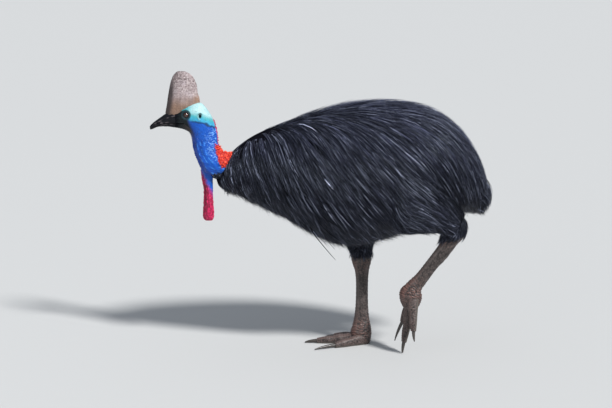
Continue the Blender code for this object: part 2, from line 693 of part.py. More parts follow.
def make_foot(side, place, splay, fan=0.0):
    """The three toes of a foot with their claws. The inner toe points to the body's middle."""
    name = "right" if side == RIGHT else "left"
    toes = (
        ("middle", MIDDLE_TOE, MIDDLE_CLAW, 0),
        ("inner", SIDE_TOE, DAGGER_CLAW, -side),
        ("outer", SIDE_TOE, OUTER_CLAW, side),
    )
    for which, toe_rows, claw_rows, across in toes:
        step = Matrix.Translation((0, across * TOE_STEP, 0))
        turn = Matrix.Rotation(-across * splay, 4, "Z") @ Matrix.Rotation(across * fan, 4, "Y")
        at = place @ step @ turn
        toe = loft(f"toe_{name}_{which}", toe_rows, 9, 8, "shank", power=2.2, floor=0.0)
        claw = loft(f"claw_{name}_{which}", claw_rows, 5, 6, "claw", floor=0.0)
        pocket = loft("pocket", claw_rows, 5, 6, "claw", grow=GAP)
        for obj in (toe, claw, pocket):
            obj.data.transform(at)
        cutters = [shank_shape(side, GAP), pocket]
        if across:
            neighbour = loft("neighbour", MIDDLE_TOE, 9, 8, "shank", power=2.2, grow=GAP)
            neighbour.data.transform(place)
            cutters.append(neighbour)
        boolean(toe, cutters, "DIFFERENCE")
        if claw.name == "claw_left_middle":
            ground = prism(((-FAR, 0), (FAR, 0), (FAR, FAR), (-FAR, FAR)), -FAR, FAR)
            boolean(claw, [ground], "INTERSECT")


def make_legs():
    hub = Matrix.Translation((0, 0, -HUB_HEIGHT))
    make_foot(RIGHT, Matrix.Translation(RIGHT_HUB) @ hub, RIGHT_SPLAY)
    fold = Matrix.Rotation(LEFT_FOLD, 4, "Y")
    make_foot(LEFT, Matrix.Translation(LEFT_HUB) @ fold @ hub, LEFT_SPLAY, LEFT_FAN)
    shank_shape(LEFT)
    shank_shape(RIGHT)


# Coat

def at_x(table, x):
    """The value at x in a table of (x, value), on straight lines between its rows."""
    for (x0, a), (x1, b) in zip(table, table[1:]):
        if x < x1:
            return a + (b - a) * max(0.0, (x - x0) / (x1 - x0))
    return table[-1][1]


def coat_shape(name, inset):
    """Torso and thighs in one, out to the plumes' tips or in to the core."""
    rows = [TORSO, LEFT_THIGH, RIGHT_THIGH]
    if inset:
        rows = [[core_station(row) for row in stations] for stations in rows]
        rows[0] = rows[0][:-CORE_TAIL_CUT]
    body = loft(name, rows[0], CORE_RINGS if inset else 28, CORE_SIDES if inset else 24)
    thighs = [loft("thigh", stations, 7 if inset else 10, 10 if inset else 16) for stations in rows[1:]]
    return boolean(body, thighs, "UNION", "MANIFOLD")


def core_station(row):
    xa, za, xb, zb, half, y = row
    inset = min(CORE_INSET, CORE_INSET_SHARE * half)
    span = Vector((xb - xa, zb - za))
    step = span.normalized() * min(inset, 0.4 * span.length)
    return (xa + step.x, za + step.y, xb - step.x, zb - step.y, half - inset, y)


def on_thigh(point):
    """The hock that the plumes at this point run to, if they are on a thigh."""
    for side, outline, hock in (
        (LEFT, LEFT_THIGH_LIE, LEFT_HOCK),
        (RIGHT, RIGHT_THIGH_LIE, RIGHT_HOCK),
    ):
        if point.y * side > THIGH_LIE_Y and inside(outline, point):
            return hock
    return None


def inside(outline, point):
    """Whether a point lies within a counterclockwise outline in the XZ plane with no hollows."""
    for (x0, z0), (x1, z1) in zip(outline, outline[1:] + outline[:1]):
        if (x1 - x0) * (point.z - z0) < (z1 - z0) * (point.x - x0):
            return False
    return True


def lie_at(point, normal):
    """The way the plumes run over the body at a point on it."""
    hock = on_thigh(point)
    if hock:
        toward = hock - point
    else:
        angle = math.radians(at_x(LIE_ANGLES, point.x))
        toward = Vector((math.cos(angle), 0, -math.sin(angle)))
    flat = toward - normal * toward.dot(normal)
    return flat.normalized() if flat.length > 1e-4 else Vector((1, 0, 0))


def rounded(point):
    """A point to 0.01 mm, by which the faces of a union are put in one fixed order."""
    return tuple(round(value, 5) for value in point)


def root_places(core, neck):
    """Seeded places over the core outside the neck: point, normal, lie and length of a lock."""
    mesh = core.data
    draw = random.Random(LOCK_SEED)
    faces = sorted(mesh.polygons, key=lambda face: rounded(face.center))
    weights = [face.area for face in faces]
    places = []
    for face in draw.choices(faces, weights=weights, k=LOCK_PLACES):
        a, b, c = sorted((mesh.vertices[i].co for i in face.vertices), key=rounded)
        u, v = sorted((draw.random(), draw.random()))
        point = a * u + b * (v - u) + c * (1 - v)
        near, out, _, _ = neck.find_nearest(point)
        if (point - near).dot(out) < LOCK_THICKNESS / 2:
            continue
        normal = face.normal.copy()
        length = THIGH_LOCK_LENGTH if on_thigh(point) else at_x(LOCK_LENGTHS, point.x)
        places.append((point, normal, lie_at(point, normal), length * draw.uniform(0.9, 1.1)))
    return places


def crowding(place, other):
    """How near another root is, 1 being the least spacing, wider along the lie than across it."""
    point, normal, lie, length = place
    apart = other[0] - point
    if normal.dot(other[1]) < 0:
        return math.inf
    along = apart.dot(lie) / (length * LOCK_SPACING_ALONG)
    across = apart.dot(normal.cross(lie)) / (length * LOCK_WIDTH * LOCK_SPACING_ACROSS)
    return along * along + across * across


def lock_roots(core, neck):
    """Takes the free place nearest to the roots so far again and again, until none is left."""
    places = root_places(core, neck)
    spare = [math.inf] * len(places)
    roots = []
    while True:
        free = [i for i, value in enumerate(spare) if value >= 1]
        if not free:
            return roots
        taken = min(free, key=spare.__getitem__)
        roots.append(places[taken])
        for i in free:
            spare[i] = min(spare[i], crowding(places[i], places[taken]))
        spare[taken] = 0


def lock_path(root, normal, way, length, core, outer):
    """Small steps along a lock: a point on its middle line, the way up from the body, and its bed.

    The lock lies on the body, bedded in the core, and rises to the tips' height. Where the body
    turns to face down it hangs free, with no bed, and it ends where it would pass the outline.
    """
    point = root
    middle = root - normal * LOCK_ROOT_DEPTH
    path = [(middle, normal, middle - normal * LOCK_BED_DEPTH)]
    free = False
    for k in range(1, LOCK_STEPS + 1):
        step = length / LOCK_STEPS
        if free:
            way = (way + Vector((0, 0, -GRAVITY))).normalized()
            middle = middle + way * step
            bed = None
        else:
            point, normal, _, _ = core.find_nearest(point + way * step)
            way = (way + lie_at(point, normal) * 2).normalized()
            room = max(room_over(point, normal, outer) - LOCK_THICKNESS * LOCK_RIDGE, 0.002)
            rise = at_x(LOCK_RISE, k / LOCK_STEPS)
            middle = point + normal * (room * rise - LOCK_ROOT_DEPTH * (1 - rise) ** 4)
            bed = point - normal * LOCK_BED_DEPTH
            free = k >= LOCK_STEPS / 3 and normal.z < FREE_SLOPE
        near, out, _, _ = outer.find_nearest(middle)
        if k > LOCK_STEPS / 3 and (middle - near).dot(out) > OVERSHOOT:
            break
        path.append((middle, normal, bed))
    return path


def room_over(point, normal, outer):
    """How far the plumes' tips stand over the core at a point."""
    distance = outer.ray_cast(point - normal * 0.001, normal)[3]
    return min(distance or CORE_INSET / 2, CORE_INSET * 1.5) + OVERSHOOT


def make_lock(root, normal, way, length, core, outer):
    """A flat plume, ridged along the middle, that tapers to its tip."""
    path = lock_path(root, normal, way, length, core, outer)
    last = len(path) - 1
    points = []
    for share, wide, thick in LOCK_PROFILE:
        k = round(share * last)
        centre, up, bed = path[k]
        ahead = (path[min(k + 1, last)][0] - path[max(k - 1, 0)][0]).normalized()
        across = ahead.cross(up).normalized() * length * LOCK_WIDTH * wide / 2
        up = across.cross(ahead).normalized() * LOCK_THICKNESS * thick
        bedded = bed is not None and share < LOCK_OVERHANG
        low = bed if bedded else centre - up * (1 - LOCK_RIDGE)
        points += [low - across, low + across, centre + up * LOCK_RIDGE]
    points.append(path[-1][0])
    a = len(points) - 4
    faces = tube_faces(len(LOCK_PROFILE), 3)[:-1]
    faces += [(a, a + 1, a + 3), (a + 1, a + 2, a + 3), (a + 2, a, a + 3)]
    return new_object("lock", points, faces, "plumage")


def plumed_coat(outer):
    core_object = coat_shape("torso", True)
    core = surface_of(core_object)
    skin = skin_shape()
    neck = surface_of(skin)
    bpy.data.objects.remove(skin)
    locks = [make_lock(*root, core, outer) for root in lock_roots(core_object, neck)]
    return boolean(core_object, locks, "UNION", "MANIFOLD")


def wing_shape(side, surface, grow=0.0):
    """A stub with its bare quills, which lie over the flank and hang free below it."""
    root = on_side(WING_STUB, side)
    size = [radius + grow for radius in WING_STUB_SIZE]
    wing = ellipsoid("wing", root, size, "quill", rings=6, sides=10)
    quills = []
    for i, (tip_x, tip_z) in enumerate(QUILL_TIPS):
        start = root + QUILL_START + QUILL_SPACING * i
        path = []
        radii = []
        for k in range(QUILL_POINTS):
            t = k / (QUILL_POINTS - 1)
            x = start.x + (tip_x - start.x) * t
            z = start.z + (tip_z - start.z) * t - QUILL_SAG * 4 * t * (1 - t)
            path.append(flank_point(surface, side, x, z))
            radii.append((QUILL_RADIUS + grow) * (1 - QUILL_TAPER * t * t))
        quills.append(tube("quill", path, radii, "quill", 0))
    return boolean(wing, quills, "UNION", "MANIFOLD")


def flank_point(surface, side, x, z):
    hit, normal, _, _ = surface.ray_cast(Vector((x, side * FAR, z)), Vector((0, -side, 0)))
    if hit is None or hit.y * side < HANGING_Y:
        return Vector((x, side * HANGING_Y, z))
    return hit + normal * QUILL_STAND_OFF


def part_off(coat, name, outline, side):
    """Cuts a thigh off the coat, along an outline outside THIGH_EDGE_Y."""
    piece = copy_of(coat, name)
    within, beyond = (sorted((side * (THIGH_EDGE_Y + d), side * FAR)) for d in (GAP / 2, -GAP / 2))
    boolean(piece, [prism(outset(outline, -GAP / 2), *within)], "INTERSECT", "MANIFOLD")
    boolean(coat, [prism(outset(outline, GAP / 2), *beyond)], "DIFFERENCE", "MANIFOLD")


def make_coat():
    outline = coat_shape("outline", False)
    surface = surface_of(outline)
    bpy.data.objects.remove(outline)
    coat = plumed_coat(surface)
    cutters = [skin_shape(GAP)]
    for side in (LEFT, RIGHT):
        cutters += [wattle_shape(side, GAP), shank_shape(side, GAP), wing_shape(side, surface, GAP)]
        wing_shape(side, surface).name = "wing_right" if side == RIGHT else "wing_left"
    boolean(coat, cutters, "DIFFERENCE", "MANIFOLD")
    part_off(coat, "thigh_left", LEFT_THIGH_EDGE, LEFT)
    part_off(coat, "thigh_right", RIGHT_THIGH_EDGE, RIGHT)
    breast = copy_of(coat, "breast")
    tail = copy_of(coat, "tail")
    boolean(breast, [side_of(BREAST_EDGE, (-1, 0))], "INTERSECT", "MANIFOLD")
    boolean(tail, [side_of(TAIL_EDGE, (1, 0))], "INTERSECT", "MANIFOLD")
    boolean(coat, [side_of(BREAST_EDGE, (1, 0))], "INTERSECT", "MANIFOLD")
    boolean(coat, [side_of(TAIL_EDGE, (-1, 0))], "INTERSECT", "MANIFOLD")


for old in list(bpy.data.objects):
    bpy.data.objects.remove(old)
bird = bpy.data.collections.new("cassowary")
bpy.context.scene.collection.children.link(bird)
make_bill()
make_head()
make_neck()
make_caruncle()
make_legs()
make_coat()
for obj in bird.objects:
    flatten(obj)
    obj.data.shade_smooth()
    obj.data.set_sharp_from_angle(angle=SHARP_ANGLE)
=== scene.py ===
import math

import bmesh
import bpy
import numpy as np
from mathutils import Matrix, Vector
from mathutils.bvhtree import BVHTree
from mathutils.kdtree import KDTree


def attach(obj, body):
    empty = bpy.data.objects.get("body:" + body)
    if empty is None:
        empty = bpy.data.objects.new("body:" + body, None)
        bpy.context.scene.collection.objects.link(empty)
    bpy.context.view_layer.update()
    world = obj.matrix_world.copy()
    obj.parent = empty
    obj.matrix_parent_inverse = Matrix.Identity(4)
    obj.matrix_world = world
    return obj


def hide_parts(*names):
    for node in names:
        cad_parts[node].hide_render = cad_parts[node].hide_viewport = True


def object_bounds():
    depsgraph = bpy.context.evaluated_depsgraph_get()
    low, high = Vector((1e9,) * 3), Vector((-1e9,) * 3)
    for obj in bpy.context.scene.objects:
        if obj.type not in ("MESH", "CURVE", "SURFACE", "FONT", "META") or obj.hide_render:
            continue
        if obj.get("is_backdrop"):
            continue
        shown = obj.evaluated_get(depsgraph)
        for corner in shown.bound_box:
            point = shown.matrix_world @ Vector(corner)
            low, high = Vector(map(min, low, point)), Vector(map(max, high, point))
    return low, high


# The looks of a southern cassowary in mid stride, life size.
# Metres, +Z up. The bird faces -X, its left side faces -Y, and it stands on the plane z = 0.
# Side outlines are lists of stations. A station is a pair of outline points, the lower or front
# one and the upper or back one, as (x, z), with the half width across and the y of its middle.
# A station's number counts from 0 along its list, and angles go round from its upper point.

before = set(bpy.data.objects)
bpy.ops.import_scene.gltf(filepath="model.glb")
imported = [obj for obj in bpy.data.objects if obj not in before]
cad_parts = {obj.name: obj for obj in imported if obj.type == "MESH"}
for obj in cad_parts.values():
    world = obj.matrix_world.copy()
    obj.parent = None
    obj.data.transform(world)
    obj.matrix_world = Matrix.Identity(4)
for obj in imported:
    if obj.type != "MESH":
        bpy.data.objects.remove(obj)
CAD_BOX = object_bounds()

LEFT = -1
RIGHT = 1
SIDES = (LEFT, RIGHT)
SIDE_NAMES = {LEFT: "left", RIGHT: "right"}
TURN = 2 * math.pi

# Head
EYEBALL_RADIUS = 0.0113
CORNEA_BULGE = 0.075
EYE = np.array((-0.505, 0.0215, 0.900))
EYE_OUT = np.array((-0.12, 1.0, 0.08))
IRIS_ANGLE = math.radians(47)  # from the eye's axis to the edge of the iris
PUPIL_ANGLE = math.radians(20)
EAR = np.array((-0.453, 0.0335, 0.896))
EAR_HOLE = (0.0046, 0.0072)  # half its width along X and half its height
NOSTRIL = np.array((-0.613, 0.0098, 0.868))
GAPE_START_X = -0.552
GAPE_END_X = -0.512
GAPE_Z = 0.8672
CHEEK_FOLDS = (0.006, 0.0125, 0.020)  # below the corner of the mouth
THROAT_LINES = (1.62, 1.93, 2.22)  # angles of the paler streaks down the neck
HEAD_FINER = 0.432  # how much closer together the rings are on the head
CROWN_EDGE = ((-0.56, 0.908), (-0.52, 0.89), (-0.485, 0.88), (-0.445, 0.876), (-0.4, 0.856))
LORES_X = -0.499  # in front of this the face is dark

# Neck, by station number and angle from the nape
NAPE_STRIP = (5.6, 9.3)
NAPE_HALF_ANGLE = math.radians(9)
CARUNCLE = (
    (-0.402, 0.795), (-0.380, 0.775), (-0.340, 0.765), (-0.320, 0.765), (-0.322, 0.704), (-0.352, 0.707),
    (-0.372, 0.702), (-0.386, 0.730), (-0.396, 0.760),
)
SPECKLE_BAND = (10.2, 12.0)

# Feet
TOE_STEP = 0.023
HUB_HEIGHT = 0.030
RIGHT_HUB = Vector((0.160, 0.060, 0.030))
RIGHT_SPLAY = math.radians(27)
LEFT_HUB = Vector((0.338, -0.092, 0.2165))
LEFT_SPLAY = math.radians(15)
LEFT_FOLD = math.radians(-76)
LEFT_FAN = math.radians(9)

# Wings
WING_STUB = np.array((-0.145, 0.150, 0.652))
QUILL_STEP = np.array((0.006, 0.005))  # from one quill's root to the next, as (x, z)
QUILL_TIPS = ((0.055, 0.362), (0.068, 0.432), (0.072, 0.490), (0.060, 0.542), (0.035, 0.585))
QUILL_RADIUS = 0.0024
QUILL_DEPTHS = (0.017, 0.004)  # under the plumes' outline, at the stub and at the tips
QUILL_RINGS = 40
QUILL_SIDES = 12
QUILL_SAG = 0.012
QUILL_TAPER = 0.72
QUILL_SMOOTHINGS = 6
FLANK_Y = 0.10  # the surface of the flank is farther out than this
NO_FLANK_Y = 0.108  # where a quill runs if there is no surface beside it

# Coat
CORE_INSET = 0.024  # from the plumes' outline in to the skin
CORE_INSET_SHARE = 0.16
CORE_TAIL_CUT = 2
CLUMP_SPACING = 0.0157
CLUMP_STRANDS = 11
CLUMP_SPREAD = 0.013
CLUMP_RISE = 0.019  # over which its strands lie at different depths
CLUMP_GATHER = 0.42  # how far a clump's strands draw together at its tip
CLUMP_STEPS = 10
SHORT_STEPS = 6
SHORT_STRANDS = 5
SHORT_PLUME = (0.0052, 0.0006, 0.005)  # spread of a clump, half width of a strand, and rise
BRISTLE = (0.001, 0.00028, 0.001)
BRISTLES = 260
CREASE = ((0.358, 0.766), (0.537, 0.523))  # the fold behind the left thigh, as (x, z), along which painted shade darkens the plumes
PLUME_LENGTHS = ((-0.40, 0.075), (-0.30, 0.115), (-0.20, 0.160), (0.10, 0.215), (0.60, 0.225))
THIGH_PLUME_LENGTH = 0.140
PLUME_HALF_WIDTH = 0.00106
PLUME_PROFILE = ((0.0, 0.55), (0.25, 1.0), (0.55, 0.85), (0.80, 0.55))  # place, share of the width
FREE_SLOPE = -0.45
GRAVITY = 0.17
OVERSHOOT = 0.004
LIE_ANGLES = ((-0.40, 78), (-0.25, 68), (-0.05, 57), (0.15, 49), (0.30, 46), (0.45, 54), (0.62, 76))
BACK_FLATTENS = 0.42  # share of the slope that is lost on top of the back
BACK_Z = (0.80, 0.93)  # where that begins and where it is full
LEFT_HOCK = Vector((0.520, -0.111, 0.480))
RIGHT_HOCK = Vector((0.160, 0.075, 0.300))
THIGH_Y = 0.05  # the thighs' plumes start farther out than this
COAT_SEED = 7
ROOT_RINGS = 260
ROOT_ANGLES = 49
ROOT_MAP = ((0.0, 0.57), (0.6, 0.11), (0.74, 0.11))  # each loft's left edge and width in the map
SHORT_MAP = (0.88, 0.06)
# Clumps on flat ends of the core's lofts: which loft, its end, how many, and their place in the map
CAP_CLUMPS = ((1, 0, 160, 0.720), (2, 0, 110, 0.860))
TAIL_TUFTS = 260
RAY = Vector((0.31, 0.83, 0.46)).normalized()
PIECE_TRIANGLES = 190000
PATCH = 0.003  # size of a strand's patch in the map


def upright(*rows):
    """Upright stations in the middle plane, from rows of x, low z, high z and half width."""
    return tuple((x, low, x, high, half, 0.0) for x, low, high, half in rows)


MOUTH_LINE = (
    (-0.660, 0.8445), (-0.644, 0.8462), (-0.635, 0.8485), (-0.616, 0.8575), (-0.599, 0.8632),
    (-0.576, 0.8672), (-0.530, 0.8678),
)
BILL = (
    (-0.6435, 0.8425, -0.6455, 0.854, 0.003, 0.0),
    (-0.635, 0.844, -0.6385, 0.863, 0.0062, 0.0),
    (-0.6165, 0.852, -0.621, 0.8775, 0.0098, 0.0),
    (-0.5975, 0.854, -0.6045, 0.889, 0.0128, 0.0),
    (-0.575, 0.8535, -0.58, 0.9045, 0.0165, 0.0),
    (-0.5483, 0.85, -0.5483, 0.913, 0.0205, 0.0),
    (-0.535, 0.852, -0.535, 0.908, 0.02, 0.0),
)
HEAD_AND_NECK = (
    (-0.548, 0.85, -0.548, 0.913, 0.0205, 0.0),
    (-0.533, 0.8475, -0.536, 0.918, 0.0255, 0.0),
    (-0.516, 0.843, -0.515, 0.931, 0.031, 0.0),
    (-0.498, 0.833, -0.485, 0.943, 0.0345, 0.0),
    (-0.49, 0.82, -0.451, 0.943, 0.0365, 0.0),
    (-0.487, 0.806, -0.425, 0.915, 0.0365, 0.0),
    (-0.485, 0.795, -0.404, 0.875, 0.035, 0.0),
    (-0.483, 0.781, -0.394, 0.833, 0.0335, 0.0),
    (-0.479, 0.764, -0.389, 0.795, 0.0335, 0.0),
    (-0.471, 0.738, -0.383, 0.766, 0.035, 0.0),
    (-0.457, 0.703, -0.359, 0.751, 0.042, 0.0),
    (-0.435, 0.669, -0.321, 0.748, 0.052, 0.0),
    (-0.374, 0.655, -0.285, 0.728, 0.052, 0.0),
    (-0.3, 0.65, -0.24, 0.705, 0.04, 0.0),
)
CASQUE = (
    (-0.583, 0.889, -0.459, 0.934, 0.02, 0.0),
    (-0.5845, 0.906, -0.456, 0.943, 0.0212, 0.0),
    (-0.5815, 0.926, -0.4565, 0.954, 0.0212, 0.0),
    (-0.577, 0.952, -0.458, 0.968, 0.0205, 0.0),
    (-0.571, 0.986, -0.465, 0.99, 0.0185, 0.0),
    (-0.565, 1.015, -0.467, 1.013, 0.0168, 0.0),
    (-0.557, 1.04, -0.477, 1.037, 0.0145, 0.0),
    (-0.545, 1.056, -0.493, 1.054, 0.0108, 0.0),
    (-0.53, 1.063, -0.508, 1.062, 0.006, 0.0),
)
WATTLE = (
    (-0.445, 0.692, -0.4, 0.7, 0.0115, 0.0135),
    (-0.4395, 0.652, -0.408, 0.66, 0.0085, 0.014),
    (-0.4335, 0.618, -0.409, 0.622, 0.0072, 0.015),
    (-0.4335, 0.58, -0.408, 0.58, 0.008, 0.0165),
    (-0.436, 0.546, -0.405, 0.546, 0.0092, 0.0175),
    (-0.4375, 0.519, -0.4045, 0.519, 0.0092, 0.0175),
    (-0.434, 0.504, -0.4075, 0.504, 0.0075, 0.0175),
    (-0.427, 0.497, -0.415, 0.497, 0.004, 0.0175),
)
RIGHT_WATTLE_SHIFT = np.array((-0.0115, 0.0, -0.006))
TORSO = (
    (-0.4, 0.643, -0.334, 0.756, 0.058, 0.0),
    (-0.386, 0.616, -0.3, 0.795, 0.076, 0.0),
    (-0.337, 0.594, -0.252, 0.832, 0.099, 0.0),
    (-0.27, 0.563, -0.19, 0.866, 0.127, 0.0),
    (-0.19, 0.519, -0.13, 0.888, 0.151, 0.0),
    (-0.109, 0.482, -0.07, 0.91, 0.173, 0.0),
    (-0.018, 0.426, -0.001, 0.929, 0.188, 0.0),
    (0.058, 0.392, 0.064, 0.947, 0.199, 0.0),
    (0.158, 0.393, 0.155, 0.96, 0.208, 0.0),
    (0.257, 0.418, 0.252, 0.962, 0.21, 0.0),
    (0.348, 0.452, 0.343, 0.952, 0.204, 0.0),
    (0.424, 0.483, 0.433, 0.924, 0.19, 0.0),
    (0.484, 0.507, 0.517, 0.863, 0.166, 0.0),
    (0.537, 0.519, 0.583, 0.776, 0.136, 0.0),
    (0.583, 0.523, 0.626, 0.677, 0.1, 0.0),
    (0.621, 0.523, 0.648, 0.581, 0.055, 0.0),
    (0.636, 0.531, 0.647, 0.554, 0.02, 0.0),
)
LEFT_THIGH = (
    (0.23, 0.52, 0.255, 0.7, 0.06, -0.085),
    (0.296, 0.46, 0.323, 0.732, 0.078, -0.134),
    (0.378, 0.465, 0.397, 0.688, 0.068, -0.142),
    (0.445, 0.464, 0.462, 0.63, 0.053, -0.132),
    (0.48, 0.448, 0.511, 0.581, 0.04, -0.12),
    (0.488, 0.43, 0.54, 0.543, 0.032, -0.111),
)
RIGHT_THIGH = (
    (0.01, 0.6, 0.19, 0.64, 0.045, 0.105),
    (0.037, 0.537, 0.222, 0.537, 0.07, 0.116),
    (0.06, 0.46, 0.222, 0.46, 0.064, 0.103),
    (0.079, 0.411, 0.214, 0.415, 0.048, 0.088),
    (0.102, 0.37, 0.204, 0.374, 0.036, 0.076),
    (0.116, 0.345, 0.199, 0.349, 0.031, 0.071),
)
LEFT_SHANK = (
    (0.47, 0.51, 0.52, 0.543, 0.02, -0.111),
    (0.456, 0.47, 0.545, 0.502, 0.0265, -0.11),
    (0.45, 0.444, 0.538, 0.456, 0.0265, -0.11),
    (0.443, 0.422, 0.508, 0.418, 0.024, -0.108),
    (0.43, 0.401, 0.473, 0.369, 0.02, -0.105),
    (0.398, 0.356, 0.435, 0.326, 0.0178, -0.1),
    (0.362, 0.308, 0.401, 0.277, 0.0185, -0.096),
    (0.328, 0.274, 0.38, 0.244, 0.0235, -0.093),
    (0.3, 0.242, 0.382, 0.218, 0.03, -0.092),
    (0.299, 0.208, 0.378, 0.196, 0.03, -0.092),
    (0.312, 0.176, 0.364, 0.17, 0.022, -0.092),
)
RIGHT_SHANK = (
    (0.125, 0.39, 0.185, 0.39, 0.02, 0.072),
    (0.119, 0.348, 0.1975, 0.348, 0.0265, 0.07),
    (0.122, 0.32, 0.195, 0.32, 0.0255, 0.069),
    (0.133, 0.285, 0.187, 0.285, 0.021, 0.067),
    (0.1375, 0.24, 0.184, 0.24, 0.018, 0.065),
    (0.137, 0.17, 0.184, 0.17, 0.0178, 0.063),
    (0.133, 0.115, 0.187, 0.115, 0.02, 0.061),
    (0.126, 0.078, 0.193, 0.078, 0.026, 0.06),
    (0.118, 0.048, 0.198, 0.048, 0.033, 0.06),
    (0.12, 0.018, 0.196, 0.018, 0.033, 0.06),
    (0.126, 0.0, 0.19, 0.0, 0.029, 0.06),
)
MIDDLE_TOE = upright(
    (0.005, -0.003, 0.042, 0.0175),
    (-0.03, -0.004, 0.045, 0.0185),
    (-0.06, -0.003, 0.037, 0.0162),
    (-0.085, -0.004, 0.035, 0.0172),
    (-0.11, -0.003, 0.029, 0.0145),
    (-0.132, -0.004, 0.0275, 0.0152),
    (-0.155, -0.003, 0.0235, 0.013),
    (-0.174, -0.001, 0.019, 0.0105),
)
SIDE_TOE = upright(
    (0.005, -0.003, 0.038, 0.015),
    (-0.025, -0.004, 0.04, 0.0165),
    (-0.05, -0.003, 0.0325, 0.0145),
    (-0.075, -0.004, 0.03, 0.015),
    (-0.098, -0.003, 0.025, 0.0128),
    (-0.118, -0.001, 0.0195, 0.01),
)
MIDDLE_CLAW = upright(
    (-0.166, 0.003, 0.0165, 0.0072),
    (-0.185, 0.0025, 0.0155, 0.0064),
    (-0.205, 0.0018, 0.0115, 0.0046),
    (-0.22, 0.0015, 0.006, 0.0026),
)
OUTER_CLAW = upright(
    (-0.11, 0.003, 0.0165, 0.0068),
    (-0.128, 0.0025, 0.0145, 0.0058),
    (-0.145, 0.0018, 0.01, 0.004),
    (-0.157, 0.0015, 0.0045, 0.0018),
)
DAGGER_CLAW = upright(
    (-0.11, 0.003, 0.017, 0.0072),
    (-0.14, 0.004, 0.0165, 0.0064),
    (-0.175, 0.004, 0.0125, 0.0042),
    (-0.205, 0.0025, 0.006, 0.0016),
)

# Short plumes: the loft, its first and last station with them, points round it, their spacing,
# their left edge in the map, their length and the way that they run
SHORT_COATS = (
    (HEAD_AND_NECK, 9.6, 12.6, 150, 0.0050, 0.880, 0.042, Vector((0.72, 0, -0.62))),
    (LEFT_SHANK, 0.0, 1.75, 70, 0.0048, 0.945, 0.042, Vector((-0.45, 0, -0.86))),
    (RIGHT_SHANK, 0.0, 0.75, 70, 0.0048, 0.970, 0.036, Vector((0.05, 0, -1.0))),
)

# Colours, as linear red, green and blue
TURQUOISE = (0.055, 0.38, 0.42)
PALE_CROWN = (0.40, 0.63, 0.64)
DARK_TEAL = (0.005, 0.024, 0.031)
LORES = (0.0080, 0.0125, 0.0140)
BILL_BLACK = (0.0075, 0.0080, 0.0105)
# painted highlight on the bill
BILL_GLINT = (0.150, 0.125, 0.135)
COBALT = (0.002, 0.085, 0.46)
# painted shade on the front of the neck
NECK_SHADE_BLUE = (0.003, 0.030, 0.27)
GRANULE_BLUE = (0.20, 0.46, 0.90)
NAPE_MAGENTA = (0.46, 0.02, 0.08)
CARUNCLE_ORANGE = (0.86, 0.075, 0.030)
CARUNCLE_DEEP = (0.42, 0.015, 0.012)
SPECKLE_PURPLE = (0.36, 0.06, 0.42)
WATTLE_CRIMSON = (0.62, 0.016, 0.105)
WATTLE_DEEP = (0.16, 0.004, 0.022)
UNDER_PLUMES = (0.006, 0.006, 0.009)
TARSUS = (0.085, 0.070, 0.065)
TARSUS_DARK = (0.024, 0.019, 0.018)
JOINT_PINK = (0.185, 0.080, 0.062)
SOLE = (0.095, 0.080, 0.068)
FOLD_PINK = (0.13, 0.075, 0.065)
IRIS = (0.060, 0.013, 0.007)
IRIS_PALE = (0.15, 0.038, 0.016)
CASQUE_GREY = (0.31, 0.245, 0.245)
CASQUE_PALE = (0.45, 0.375, 0.39)
CASQUE_BROWN = (0.22, 0.125, 0.075)
PLUME = (0.0100, 0.0108, 0.0180)
# painted highlight: the silvery sheen given to a random share of strands
SILVER_HIGHLIGHT = (0.160, 0.175, 0.235)
# painted reflection of the sky on top of the back
BACK_SHEEN = (0.046, 0.050, 0.084)
LID_DARK = (0.010, 0.016, 0.020)
CLAW_BROWN = (0.040, 0.033, 0.028)
QUILL_BLACK = (0.006, 0.006, 0.007)

# Stage
FLOOR_REACH = 60.0
FLOOR_GREY = (0.56, 0.56, 0.55)
SKY = (0.80, 0.88, 1.0, 1.0)
SKY_STRENGTH = 0.42
LAMPS = (("key", "SUN", (3.2, -3.4, 5.0), 4.2), ("front", "AREA", (-3.5, -5.0, 2.2), 30.0))
LAMPS_AIM = Vector((0, 0, 0.6))
CAMERA_PLACE = (-0.056, -6.5026, 1.6457)
CAMERA_PITCH = math.radians(80.5)
CAMERA_HALF_VIEW = math.atan(306 / 1735)  # half the picture's width over the distance, in pixels


# Numbers

def smooth(value, start, end):
    """0 at start, 1 at end, and an S curve between them."""
    t = np.clip((value - start) / (end - start), 0, 1)
    return t * t * (3 - 2 * t)


def hill(value, width):
    return np.exp(-(value / width) ** 2)


def mix(under, over, share):
    """Colours over others, by a share for each point."""
    share = np.clip(share, 0, 1)[:, None]
    return np.asarray(under) * (1 - share) + np.asarray(over) * share


def unit(vectors):
    return vectors / (np.linalg.norm(vectors, axis=-1, keepdims=True) + 1e-12)


def round_angles(count):
    return np.linspace(0, TURN, count, endpoint=False)


def table_at(table, x):
    xs, values = np.array(table, float).T
    return np.interp(x, xs, values)


def waves(points, length, seed):
    """A smooth seeded field from about -1 to 1, with bumps about this long."""
    draw = np.random.default_rng(seed)
    total = np.zeros(len(points))
    for _ in range(9):
        way = draw.normal(size=3)
        way /= np.linalg.norm(way)
        pace = TURN / length * draw.uniform(0.7, 1.5)
        total += np.sin(points @ way * pace + draw.uniform(0, 7))
    return total / 4.5


def cells(points, size, seed=0):
    """For each point the distance to the nearest and next of one seeded centre in each cube."""
    scaled = points / size
    base = np.floor(scaled)
    first = np.full(len(points), 9.0)
    second = first.copy()
    tag = np.zeros(len(points))
    for shift in np.ndindex(3, 3, 3):
        cube = base + np.array(shift) - 1
        draws = [
            np.modf(np.sin(cube @ np.array(way) + seed) * 43758.5453)[0] % 1.0
            for way in ((127.1, 311.7, 74.7), (269.5, 183.3, 246.1), (113.5, 271.9, 124.6))
        ]
        apart = np.linalg.norm(cube + np.stack(draws, 1) - scaled, axis=1)
        nearer = apart < first
        second = np.where(nearer, first, np.minimum(second, apart))
        first = np.where(nearer, apart, first)
        tag = np.where(nearer, draws[0], tag)
    return first, second, tag


